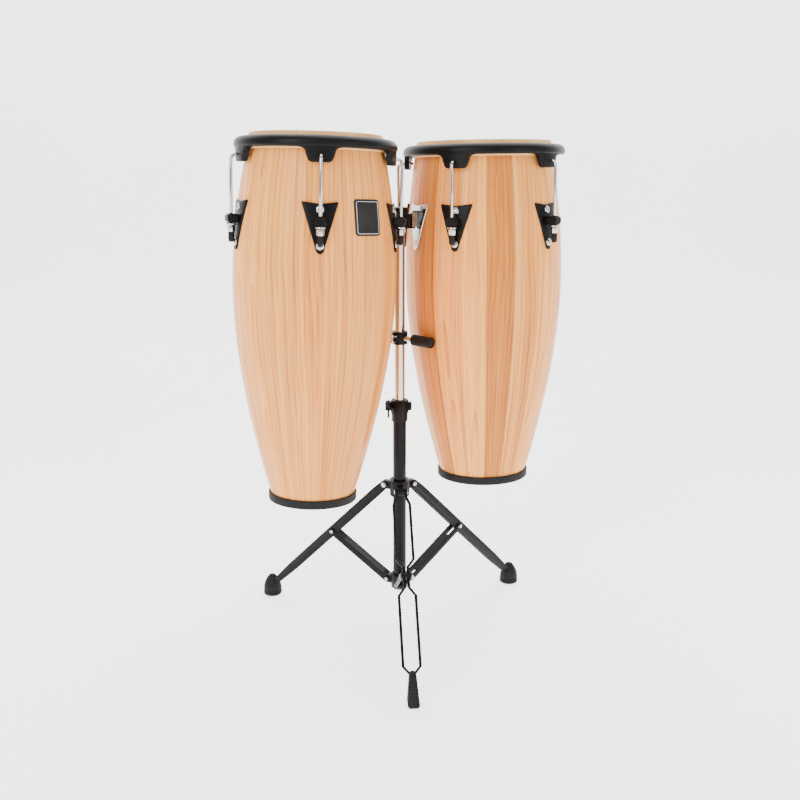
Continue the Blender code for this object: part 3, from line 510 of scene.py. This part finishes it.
def wrapped(rows, radius_at, lift, thickness, bevel, columns=12, notch=0.0):
    """Plate of rows (height, half width) bent round the Z axis, facing -Y."""
    top, bottom = rows[0][0], rows[-1][0]
    shape = bmesh.new()
    layers = []
    for depth, inset in ((lift, 0.0), (lift + thickness - bevel, 0.0),
                         (lift + thickness - bevel * 0.3, bevel * 0.3),
                         (lift + thickness, bevel)):
        grid = []
        for level, half in rows:
            share = (top - level) / (top - bottom)
            height = min(max(level, bottom + inset), top - inset)
            line = []
            for column in range(columns + 1):
                across = 2 * column / columns - 1
                place = height - notch * (1 - abs(across)) * (1 - share) ** 2
                radius = radius_at(place) + depth
                angle = across * max(half - inset, 0.0002) / radius
                line.append(shape.verts.new((radius * math.sin(angle),
                                             -radius * math.cos(angle), place)))
            grid.append(line)
        layers.append(grid)
    for grid in (layers[0], layers[-1]):
        for upper, lower in zip(grid, grid[1:]):
            for column in range(columns):
                shape.faces.new((upper[column], upper[column + 1], lower[column + 1],
                                 lower[column]))
    loops = []
    for grid in layers:
        loop = grid[0] + [line[-1] for line in grid[1:-1]]
        loop += list(reversed(grid[-1])) + [line[0] for line in reversed(grid[1:-1])]
        loops.append(loop)
    for first, second in zip(loops, loops[1:]):
        for index in range(len(first)):
            after = (index + 1) % len(first)
            shape.faces.new((first[index], first[after], second[after], second[index]))
    return shape


def joined(shapes):
    """One shape of several."""
    whole = bmesh.new()
    for shape in shapes:
        mesh = bpy.data.meshes.new("joined")
        shape.to_mesh(mesh)
        shape.free()
        whole.from_mesh(mesh)
        bpy.data.meshes.remove(mesh)
    return whole


def hexagon(radius, low, high, chamfer):
    """Hexagonal prism with chamfered ends."""
    return lathe([(0, low), (radius - chamfer, low), (radius, low + chamfer),
                  (radius, high - chamfer), (radius - chamfer, high), (0, high)], 6)


def cross_screw_mesh():
    """Domed screw head with a cross recess, facing +Z from its own origin."""
    dome = SCREW_HEAD * 0.42
    profile = [(0, 0), (SCREW_HEAD, 0), (SCREW_HEAD, dome * 0.25)]
    profile += [(SCREW_HEAD * math.cos(math.radians(angle)),
                 dome * (0.25 + 0.75 * math.sin(math.radians(angle))))
                for angle in (20, 40, 60, 78, 90)]
    head = to_mesh("screw_head", lathe(profile, 24))
    tools = []
    slot, reach = SCREW_HEAD * 0.13, SCREW_HEAD * 0.55
    for across, along in ((slot, reach), (reach, slot)):
        tools.append(rounded_box((-across, -along, dome * 0.35), (across, along, dome * 2),
                                 slot * 0.4))
    thing = bpy.data.objects.new("screw_head", head)
    bpy.context.scene.collection.objects.link(thing)
    cutters = []
    for tool in tools:
        cutter = bpy.data.objects.new("screw_slot", to_mesh("screw_slot", tool))
        bpy.context.scene.collection.objects.link(cutter)
        cut = thing.modifiers.new("cross", "BOOLEAN")
        cut.operation = "DIFFERENCE"
        cut.object = cutter
        cutters.append(cutter)
    graph = bpy.context.evaluated_depsgraph_get()
    made = bpy.data.meshes.new_from_object(thing.evaluated_get(graph), depsgraph=graph)
    made.name = "cross_screw"
    for spare in cutters + [thing]:
        bpy.data.objects.remove(spare, do_unlink=True)
    made.materials.clear()
    return made


# ------------------------------------------------------------------ drums
def drum_place(side):
    """The drum's frame: +Z up its axis from the wood's lower edge, -Y at its first lug."""
    axis = Vector(JOINTS[side + "_drum_lift"]["axis"]).normalized()
    nuts = [Vector(JOINTS["%s_nut_%d_turn" % (side, number)]["pos_m"])
            for number in range(1, LUGS + 1)]
    centre = sum(nuts, Vector()) / LUGS
    place = axes(centre, axis, nuts[0] - centre)
    foot = measured(side + "_shell", place)[:, 2].min()
    return place @ Matrix.Translation((0, 0, float(foot)))


def shell_curve(side, place):
    """Outside radius of the CAD shell as a smooth function of height."""
    points = measured(side + "_shell", place)
    radius = np.hypot(points[:, 0], points[:, 1])
    levels = np.round(points[:, 2], 3)
    rows = sorted(set(levels))
    outside = [float(radius[levels == row].max()) for row in rows]
    fit = np.poly1d(np.polyfit(rows, outside, 6))
    return lambda height: float(fit(height)), float(rows[-1])


def make_shell(side, place, radius_at, top):
    rows = 56
    heights = [top * row / rows for row in range(1, rows)]
    outer = [(radius_at(0) - 0.001, 0.0), (radius_at(0), 0.001)]
    outer += [(radius_at(height), height) for height in heights]
    outer += [(radius_at(top) - 0.0002, top - 0.003), (radius_at(top) - 0.0014, top - 0.0006)]
    inner = [(radius_at(top) - SHELL_WALL * 0.6, top)]
    inner += [(radius_at(height) - SHELL_WALL, height) for height in reversed(heights[::4])]
    inner += [(radius_at(0) - SHELL_WALL, 0.001), (radius_at(0) - SHELL_WALL + 0.001, 0.0)]
    node = side + "_shell"
    piece(side + "_wood", to_mesh(node, lathe(outer + inner, 144)), side + "_wood",
          BODY[node], place, [node])


def make_head(side, place):
    """Skin drawn over the edge, with the roll of its hoop below the rim's lip."""
    node = side + "_head"
    points = measured(node, place)
    radius = np.hypot(points[:, 0], points[:, 1])
    crown, low = float(points[:, 2].max()), float(points[:, 2].min())
    hoop = float(radius.max())
    flat = radius > hoop * 0.9
    shoulder = float(points[flat][:, 2].max())
    edge = float(radius[np.abs(points[:, 2] - shoulder) < 0.0008].max())
    rise = crown - shoulder
    profile = []
    for step in range(15):
        share = step / 14
        profile.append((edge * share, shoulder + rise * (1 - share ** 2.6)))
    bend = 0.0035
    profile += arc((edge, shoulder - bend), bend, 80, 10, 5)
    profile += [(hoop - 0.0004, low + 0.008), (hoop, low + 0.004), (hoop - 0.001, low + 0.0006),
                (hoop - 0.003, low)]
    piece(side + "_skin", to_mesh(node, lathe(profile, 128, False), 60), "skin",
          BODY[node], place, [node])


def make_rim(side, place):
    """Comfort rim: a rolled bead with five ears that the rods hook under."""
    node = side + "_rim"
    points = measured(node, place)
    radius = np.hypot(points[:, 0], points[:, 1])
    outer, inner = float(radius.max()), float(radius.min())
    top, foot = float(points[:, 2].max()), float(points[:, 2].min())
    low = top - RIM_BAND
    throat = float(np.hypot(*measured(side + "_head", place)[:, :2].T).max()) + 0.001
    profile = [(throat, low + 0.004), (throat, low + 0.009), (inner, top - 0.006)]
    profile += arc((inner + 0.0035, top - 0.0035), 0.0035, 180, 90, 5)
    profile += arc((outer - RIM_ROLL * 1.25, top - RIM_ROLL), RIM_ROLL, 90, 0, 14, 1.25)
    profile += arc((outer - 0.0045, low + 0.0045), 0.0045, 0, -90, 6)
    profile += [(throat + 0.003, low)]
    piece(side + "_rim_roll", to_mesh(node, lathe(profile, 144)), "gloss_black", BODY[node],
          place, [node])
    rows = ear_rows(low, foot)
    for number in range(LUGS):
        shape = wrapped(rows, lambda height: outer, -EAR_THICKNESS - 0.002, EAR_THICKNESS,
                        0.0022, 18)
        piece("%s_ear_%d" % (side, number + 1), to_mesh("ear", shape), "gloss_black",
              BODY[node], place @ spin(LUG_TURN * number))


def ear_rows(low, foot):
    """An ear's outline: wide fillets under the rim, then a tab with round corners."""
    wide, neck, end = (width / 2 for width in EAR_WIDTHS)
    rows = [(low + 0.004, wide)]
    for step in range(9):
        share = step / 8
        sweep = 1 - math.sqrt(max(1 - (1 - share) ** 2, 0))
        rows.append((low - 0.0002 - EAR_NECK_DROP * share, neck + (wide - neck) * sweep))
    rows += rounded_rows(low - EAR_NECK_DROP - 0.0008, foot, neck, end, 0.00001, 0.006, 5)[7:]
    return rows


def lug_radius(side, place):
    """Distance of the tension rods from the drum's axis."""
    first = place.inverted() @ Vector(JOINTS[side + "_nut_1_turn"]["pos_m"])
    return math.hypot(first.x, first.y), first.z


def make_rods(side, place, out):
    for number in range(LUGS):
        node = "%s_rod_%d" % (side, number + 1)
        turned = place @ spin(LUG_TURN * number)
        points = measured(node, turned)
        hook = float(points[:, 2].max()) - ROD_RADIUS
        start = -float(points[:, 1].max())
        end = float(points[:, 2].min())
        path = [(0, -start, hook), (0, -(out - ROD_BEND), hook)]
        for step in range(1, 12):
            angle = math.radians(90 * step / 12)
            path.append((0, -(out - ROD_BEND + ROD_BEND * math.sin(angle)),
                         hook - ROD_BEND + ROD_BEND * math.cos(angle)))
        path += [(0, -out, hook - ROD_BEND), (0, -out, end + 0.002)]
        piece("%s_tension_rod_%d" % (side, number + 1),
              to_mesh(node, swept(path, ROD_RADIUS, 20)), "chrome", BODY[node], turned, [node])


def make_nuts(side, place, out, level):
    """Cup washer, tapered hexagon nut and the black cap on the rod's end."""
    for number in range(LUGS):
        node = "%s_nut_%d" % (side, number + 1)
        spot = place @ spin(LUG_TURN * number) @ Matrix.Translation((0, -out, level))
        points = measured(node, spot)
        top, end = float(points[:, 2].max()), float(points[:, 2].min())
        wide = float(np.hypot(points[:, 0], points[:, 1]).max())
        bore = ROD_RADIUS + 0.0004
        cup = [(bore, top), (wide * 0.80, top), (wide * 0.93, top - 0.0008),
               (wide, top - 0.0024), (wide * 0.97, top - 0.0040), (wide * 0.72, top - 0.0056),
               (bore, top - 0.0060)]
        nut = [(bore, top - 0.0058), (0.0071, top - 0.0058), (0.0076, top - 0.0066),
               (0.0072, top - 0.0150), (0.0064, top - 0.0168), (bore, top - 0.0168)]
        cap = [(0, end), (0.0030, end + 0.0002), (0.0050, end + 0.0018), (0.0058, end + 0.0050),
               (0.0058, top - 0.0178), (0.0050, top - 0.0166), (0, top - 0.0166)]
        name = "%s_%%s_%d" % (side, number + 1)
        piece(name % "cup", to_mesh("cup", lathe(cup, 32)), "chrome", BODY[node], spot, [node])
        piece(name % "hex", to_mesh("hex", lathe(nut, 6), 25), "chrome", BODY[node], spot)
        piece(name % "cap", to_mesh("cap", lathe(cap, 24)), "cap", BODY[node], spot)


def add_screw(name, body, place, radius_at, level, finish="chrome", rise=1.0):
    """A cross-head screw on a plate at a level of the shell's face; rise flattens its dome."""
    slope = math.atan2(radius_at(level + 0.01) - radius_at(level - 0.01), 0.02)
    radius = radius_at(level) + PLATE_LIFT + PLATE_THICKNESS - 0.0003
    spot = place @ Matrix.Translation((0, -radius, level))
    spot = spot @ Matrix.Rotation(math.radians(90) + slope, 4, "X")
    piece(name, SCREW_MESH.copy(), finish, body, spot @ Matrix.Diagonal((1, 1, rise, 1)))


def make_lugs(side, place, radius_at, out, level):
    """V plates with their blocks, each held by two cross-head screws."""
    for number in range(LUGS):
        node = "%s_lug_%d" % (side, number + 1)
        turned = place @ spin(LUG_TURN * number)
        points = measured(node, turned)
        top, bottom = float(points[:, 2].max()), float(points[:, 2].min())
        half = float(np.abs(points[:, 0]).max())
        rows = rounded_rows(top, bottom, half, PLATE_TIP, *PLATE_CORNERS, PLATE_ROWS)
        shape = wrapped(rows, radius_at, PLATE_LIFT, PLATE_THICKNESS, PLATE_BEVEL, 14, PLATE_NOTCH)
        name = "%s_%%s_%d" % (side, number + 1)
        piece(name % "plate", to_mesh("plate", shape), "gloss_black", BODY[node], turned, [node])
        inner = radius_at(level) + 0.001
        front = float(-points[:, 1].min())
        body = rounded_box((-BLOCK_WIDTH / 2, -front, level),
                           (BLOCK_WIDTH / 2, -inner, level + BLOCK_HEIGHT), 0.0028)
        collar = lathe([(ROD_RADIUS + 0.0004, level + BLOCK_HEIGHT - 0.001),
                        (ROD_RADIUS + 0.0034, level + BLOCK_HEIGHT - 0.001),
                        (ROD_RADIUS + 0.0032, level + BLOCK_HEIGHT + 0.0007),
                        (ROD_RADIUS + 0.0004, level + BLOCK_HEIGHT + 0.0009)], 28)
        bmesh.ops.translate(collar, verts=collar.verts, vec=(0, -out, 0))
        piece(name % "block", to_mesh("block", joined([body, collar])), "gloss_black",
              BODY[node], turned)
        add_screw(name % "screw_high", BODY[node], turned, radius_at, top - HIGH_SCREW)
        add_screw(name % "screw_low", BODY[node], turned, radius_at, bottom + LOW_SCREW)


def make_mount(side, place, radius_at):
    """Bright V plate with the slotted block that hangs on the stand's tongue."""
    node = side + "_mount"
    middle = measured(node, place).mean(axis=0)
    heading = math.degrees(math.atan2(middle[1], middle[0])) + 90
    heading = round(heading / HALF_TURN) * HALF_TURN
    turned = place @ spin(heading)
    points = measured(node, turned)
    top, bottom = float(points[:, 2].max()), float(points[:, 2].min())
    half = float(np.abs(points[:, 0]).max())
    rows = rounded_rows(top, bottom, half, PLATE_TIP, *PLATE_CORNERS, PLATE_ROWS)
    shape = wrapped(rows, radius_at, PLATE_LIFT, PLATE_THICKNESS, PLATE_BEVEL, 14, PLATE_NOTCH)
    piece(side + "_mount_plate", to_mesh("mount_plate", shape), "chrome", BODY[node], turned,
          [node])
    front = float(-points[:, 1].min())
    face = points[points[:, 1] < -front + 0.001]
    low, high = float(face[:, 2].min()), float(face[:, 2].max())
    wide = float(np.abs(face[:, 0]).max())
    slot = float(np.abs(face[:, 0]).min())
    inner = radius_at(low) + 0.001
    cheeks = [rounded_box((way * slot if way > 0 else -wide, -front, low),
                          (wide if way > 0 else -slot, -inner, high), 0.0007)
              for way in (-1, 1)]
    floor = rounded_box((-wide, -(inner + 0.004), low), (wide, -inner, high), 0.0007)
    roof = rounded_box((-wide, -front, high - 0.0055), (wide, -inner, high), 0.0007)
    piece(side + "_mount_block", to_mesh("mount_block", joined(cheeks + [floor, roof])),
          "chrome", BODY[node], turned)
    add_screw(side + "_mount_screw", BODY[node], turned, radius_at, bottom + LOW_SCREW, "steel",
              MOUNT_SCREW_RISE)


def make_bottom_ring(side, place, radius_at):
    node = side + "_bottom_ring"
    points = measured(node, place)
    radius = np.hypot(points[:, 0], points[:, 1])
    top, bottom = float(points[:, 2].max()), float(points[:, 2].min())
    inner = float(radius.min())
    wide = float(radius.max())
    skin = radius_at(top) + 0.0005
    profile = [(inner, -0.0003), (inner, bottom + 0.001), (inner + 0.001, bottom)]
    profile += arc((wide - 0.0022, bottom + 0.0022), 0.0022, -90, 0, 5)
    profile += [(wide, top - 0.003)]
    profile += arc((wide - 0.0014, top - 0.0014), 0.0014, 0, 90, 4)
    profile += [(skin, top), (radius_at(0) + 0.0006, 0.0), (radius_at(0) - 0.002, -0.0003)]
    piece(side + "_foot_band", to_mesh(node, lathe(profile, 128)), "rubber", BODY[node], place,
          [node])


def make_badge(side, place, radius_at):
    """Plain badge: a raised border round a flat field, between two lugs."""
    body = BODY[side + "_shell"]
    turned = place @ spin(HALF_TURN)
    top = BADGE_LEVEL + BADGE_HEIGHT / 2
    bottom = BADGE_LEVEL - BADGE_HEIGHT / 2
    rows = rounded_rows(top, bottom, BADGE_WIDTH / 2, BADGE_WIDTH / 2, 0.006, 0.006, 10)
    field = wrapped(rows, radius_at, 0.0004, 0.0016, 0.0006, 14)
    piece(side + "_badge", to_mesh("badge", field), "badge", body, turned)
    edge = []
    reach = BADGE_WIDTH / 2 - 0.004
    rise = BADGE_HEIGHT / 2 - 0.004
    corner = 0.004
    for centre_x, centre_z, start in ((reach - corner, rise - corner, 0),
                                      (-reach + corner, rise - corner, 90),
                                      (-reach + corner, -rise + corner, 180),
                                      (reach - corner, -rise + corner, 270)):
        for step in range(6):
            angle = math.radians(start + 18 * step)
            edge.append((centre_x + corner * math.cos(angle),
                         BADGE_LEVEL + centre_z + corner * math.sin(angle)))
    path = []
    for first, second in zip(edge, edge[1:] + edge[:1]):
        gap = math.hypot(second[0] - first[0], second[1] - first[1])
        parts = max(int(gap / 0.006), 1)
        for part in range(parts):
            share = part / parts
            across = first[0] + (second[0] - first[0]) * share
            height = first[1] + (second[1] - first[1]) * share
            radius = radius_at(height) + 0.0020
            path.append((radius * math.sin(across / radius), -radius * math.cos(across / radius),
                         height))
    path.append(path[0])
    piece(side + "_badge_border", to_mesh("badge_border", swept(path, 0.0007, 8)), "steel",
          body, turned)


def make_drum(side):
    place = drum_place(side)
    radius_at, top = shell_curve(side, place)
    out, level = lug_radius(side, place)
    make_shell(side, place, radius_at, top)
    make_head(side, place)
    make_rim(side, place)
    make_bottom_ring(side, place, radius_at)
    make_rods(side, place, out)
    make_nuts(side, place, out, level)
    make_lugs(side, place, radius_at, out, level)
    make_mount(side, place, radius_at)
    return place, radius_at


# ------------------------------------------------------------------ stand
def upright(node):
    """Frame on the floor under the middle of a node that stands upright."""
    low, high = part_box(node)
    middle = (low + high) / 2
    return Matrix.Translation((middle.x, middle.y, 0)), low, high


def make_tubes():
    """Black lower tube and the bright post inside it."""
    for node, finish, wall in (("lower_tube", "black", 0.0015), ("upper_post", "chrome", 0.0016)):
        place, low, high = upright(node)
        radius = (high.x - low.x) / 2
        edge = 0.0006
        profile = [(radius - wall, low.z + edge), (radius - wall + edge, low.z),
                   (radius - edge, low.z), (radius, low.z + edge), (radius, high.z - edge),
                   (radius - edge, high.z), (radius - wall + edge, high.z),
                   (radius - wall, high.z - edge)]
        piece(node + "_round", to_mesh(node, lathe(profile, 64)), finish, BODY[node], place,
              [node])


def make_feet():
    """Bulb-shaped crutch tips with a rolled collar and a ribbed tread."""
    for side in ("left", "right"):
        node = "foot_" + side
        place, low, high = upright(node)
        base = (high.x - low.x) / 2
        height = high.z
        profile = [(0, 0.0), (base * 0.90, 0.0), (base * 0.97, 0.0012), (base, 0.0040),
                   (base * 0.985, 0.0060), (base * 0.94, 0.0068), (base * 0.985, 0.0078),
                   (base * 0.98, 0.0110), (base * 0.93, 0.0120), (base * 0.97, 0.0130)]
        for step in range(1, 13):
            share = step / 12
            profile.append((base * (0.97 - 0.62 * share ** 2.1),
                            0.0130 + (height - 0.0150) * share))
        profile += [(base * 0.22, height - 0.0006), (0, height)]
        piece(node + "_tip", to_mesh(node, lathe(profile, 56, False)), "rubber", BODY[node],
              place, [node])


def make_sleeves():
    """Rubber sleeves on the steadying bar, with domed ends."""
    for node in ("brace_sleeve_left", "brace_sleeve_right"):
        low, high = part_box(node)
        middle = (low + high) / 2
        away = Vector((middle.x, middle.y, 0)) - Vector((*post_axis(), 0))
        place = axes(middle, away, (0, 0, 1))
        points = measured(node, place)
        start, end = float(points[:, 2].min()), float(points[:, 2].max())
        radius = float(np.hypot(points[:, 0], points[:, 1]).max())
        bore = 0.0066
        profile = [(bore, start), (radius - 0.0012, start), (radius, start + 0.0012),
                   (radius, start + 0.006), (radius - 0.0007, start + 0.0068),
                   (radius, start + 0.0076), (radius, end - 0.003)]
        profile += arc((radius - 0.003, end - 0.003), 0.003, 15, 75, 4)
        profile += [(radius * 0.45, end), (0, end), (0, end - 0.003), (bore, end - 0.0034)]
        piece(node + "_grip", to_mesh(node, lathe(profile, 40)), "rubber", BODY[node], place,
              [node])


def post_axis():
    low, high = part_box("lower_tube")
    return (low.x + high.x) / 2, (low.y + high.y) / 2


def make_pins():
    """Hexagon-headed bolts through the leg and brace pivots."""
    for side in LEGS:
        for joint, node, bolt in ((side + "_leg_fold", "leg_" + side, LEG_BOLT),
                                  (side + "_brace_fold", "brace_" + side, BRACE_BOLT)):
            info = JOINTS[joint]
            pivot = Vector(info["pos_m"])
            place = axes(pivot, info["axis"], (0, 0, 1))
            add_bolt(joint.replace("_fold", "_bolt"), place, node, bolt)
            if node.startswith("brace"):
                points = np.array([vertex.co for vertex in NODES[node].data.vertices])
                reach = np.linalg.norm(points - np.array(pivot), axis=1)
                far = Vector(points[reach > reach.max() - 0.002].mean(axis=0))
                along = far - pivot
                along -= place.to_3x3().col[2] * along.dot(place.to_3x3().col[2])
                centre = pivot + along.normalized() * (along.length - BRACE_END)
                spot = place.copy()
                spot.translation = centre
                add_bolt(side + "_open_bolt", spot, node, bolt)


def add_bolt(name, place, node, radius):
    """Hexagon head on one side and a domed head on the other, at a node's cheeks."""
    points = measured(node, place)
    close = np.hypot(points[:, 0], points[:, 1]) < BOLT_REACH
    reach = float(np.abs(points[close][:, 2]).max())
    washer = lathe([(0, reach - 0.0016), (radius * 1.15, reach - 0.0016),
                    (radius * 1.15, reach - 0.0008), (0, reach - 0.0008)], 24)
    head = hexagon(radius, reach - 0.0008, reach + 0.0016, 0.0007)
    dome = lathe([(0, -reach + 0.0014), (radius, -reach + 0.0014), (radius * 0.95, -reach),
                  (radius * 0.6, -reach - 0.0012), (0, -reach - 0.0018)], 24)
    piece(name, to_mesh("bolt", joined([washer, head, dome]), 30), "steel", BODY[node], place)


def dress_stand():
    """Finishes of the CAD pieces that show as they are."""
    dress("hub", "black", 0.0010)
    dress("lower_collar", "black", 0.0008)
    dress("height_clamp", "black", 0.0010)
    dress("clamp_wing", "black", 0.0010)
    dress("top_bracket", "black", 0.0010)
    dress("brace_arm", "chrome", 0.0006)
    paint_near("brace_arm", "black", post_axis(), ARM_CLAMP_REACH)
    dress("brace_knob", "black", 0.0008)
    for side in LEGS:
        dress("brace_" + side, "black", 0.0006)
        dress("leg_" + side, "black", 0.0007 if side != "front" else 0.0)
    dress("foot_front", "ribbed", 0.0015)


# ------------------------------------------------------------------ stage
def make_stage():
    """Pale floor that sweeps up into a wall behind, under three soft lights."""
    shape = bmesh.new()
    wall, bend = 4.2, 1.6
    outline = [(-FLOOR_REACH, 0.0), (-3.0, 0.0), (0.0, 0.0), (wall - bend, 0.0)]
    outline += [(wall - bend + bend * math.sin(math.radians(9 * step)),
                 bend - bend * math.cos(math.radians(9 * step))) for step in range(1, 11)]
    outline += [(wall, FLOOR_REACH)]
    lines = []
    for depth, height in outline:
        lines.append([shape.verts.new((across, depth, height - 0.0005))
                      for across in (-FLOOR_REACH, 0.0, FLOOR_REACH)])
    for first, second in zip(lines, lines[1:]):
        for column in range(2):
            shape.faces.new((first[column], first[column + 1], second[column + 1],
                             second[column]))
    mesh = to_mesh("backdrop", shape, 60)
    mesh.materials.append(backdrop_material())
    backdrop = bpy.data.objects.new("backdrop", mesh)
    bpy.context.scene.collection.objects.link(backdrop)

    target = Vector(LIGHT_TARGET)
    for name, spot, width, height, power in LIGHTS:
        data = bpy.data.lights.new(name, "AREA")
        data.shape = "RECTANGLE"
        data.size, data.size_y, data.energy = width, height, power
        light = bpy.data.objects.new(name, data)
        light.location = spot
        light.rotation_euler = (target - Vector(spot)).to_track_quat("-Z", "Y").to_euler()
        bpy.context.scene.collection.objects.link(light)

    world = bpy.data.worlds.new("studio")
    world.use_nodes = True
    background = world.node_tree.nodes["Background"]
    background.inputs["Color"].default_value = (1.0, 1.0, 1.0, 1)
    background.inputs["Strength"].default_value = WORLD_STRENGTH
    bpy.context.scene.world = world


def make_camera():
    across, depth = post_axis()
    data = bpy.data.cameras.new("camera")
    data.sensor_width = SENSOR
    data.lens = FOCAL_PIXELS * SENSOR / PICTURE_PIXELS
    data.shift_x = (PICTURE_PIXELS / 2 - POST_COLUMN) / PICTURE_PIXELS
    data.clip_end = 60.0
    camera = bpy.data.objects.new("camera", data)
    camera.location = (across, depth - CAMERA_DISTANCE, CAMERA_HEIGHT)
    camera.rotation_euler = (math.radians(90 - CAMERA_PITCH), 0, 0)
    bpy.context.scene.collection.objects.link(camera)
    bpy.context.scene.camera = camera


SCREW_MESH = cross_screw_mesh()
# The right drum's wood copy takes a darker low end, partly its staves' own variation and partly painted shade cast
# by the left drum beside it.
for side, seed, darkest_stave_and_shade in (("left", 0.37, 0.90), ("right", 7.37, 0.66)):
    wood = wood_material("ash_" + side, drum_place(side), seed, darkest_stave_and_shade)
    MATERIALS[side + "_wood"] = (wood, "wood")
DRUMS = {side: make_drum(side) for side in SIDES}
make_badge("left", *DRUMS["left"])
make_tubes()
make_feet()
make_sleeves()
make_pins()
dress_stand()
make_stage()
make_camera()
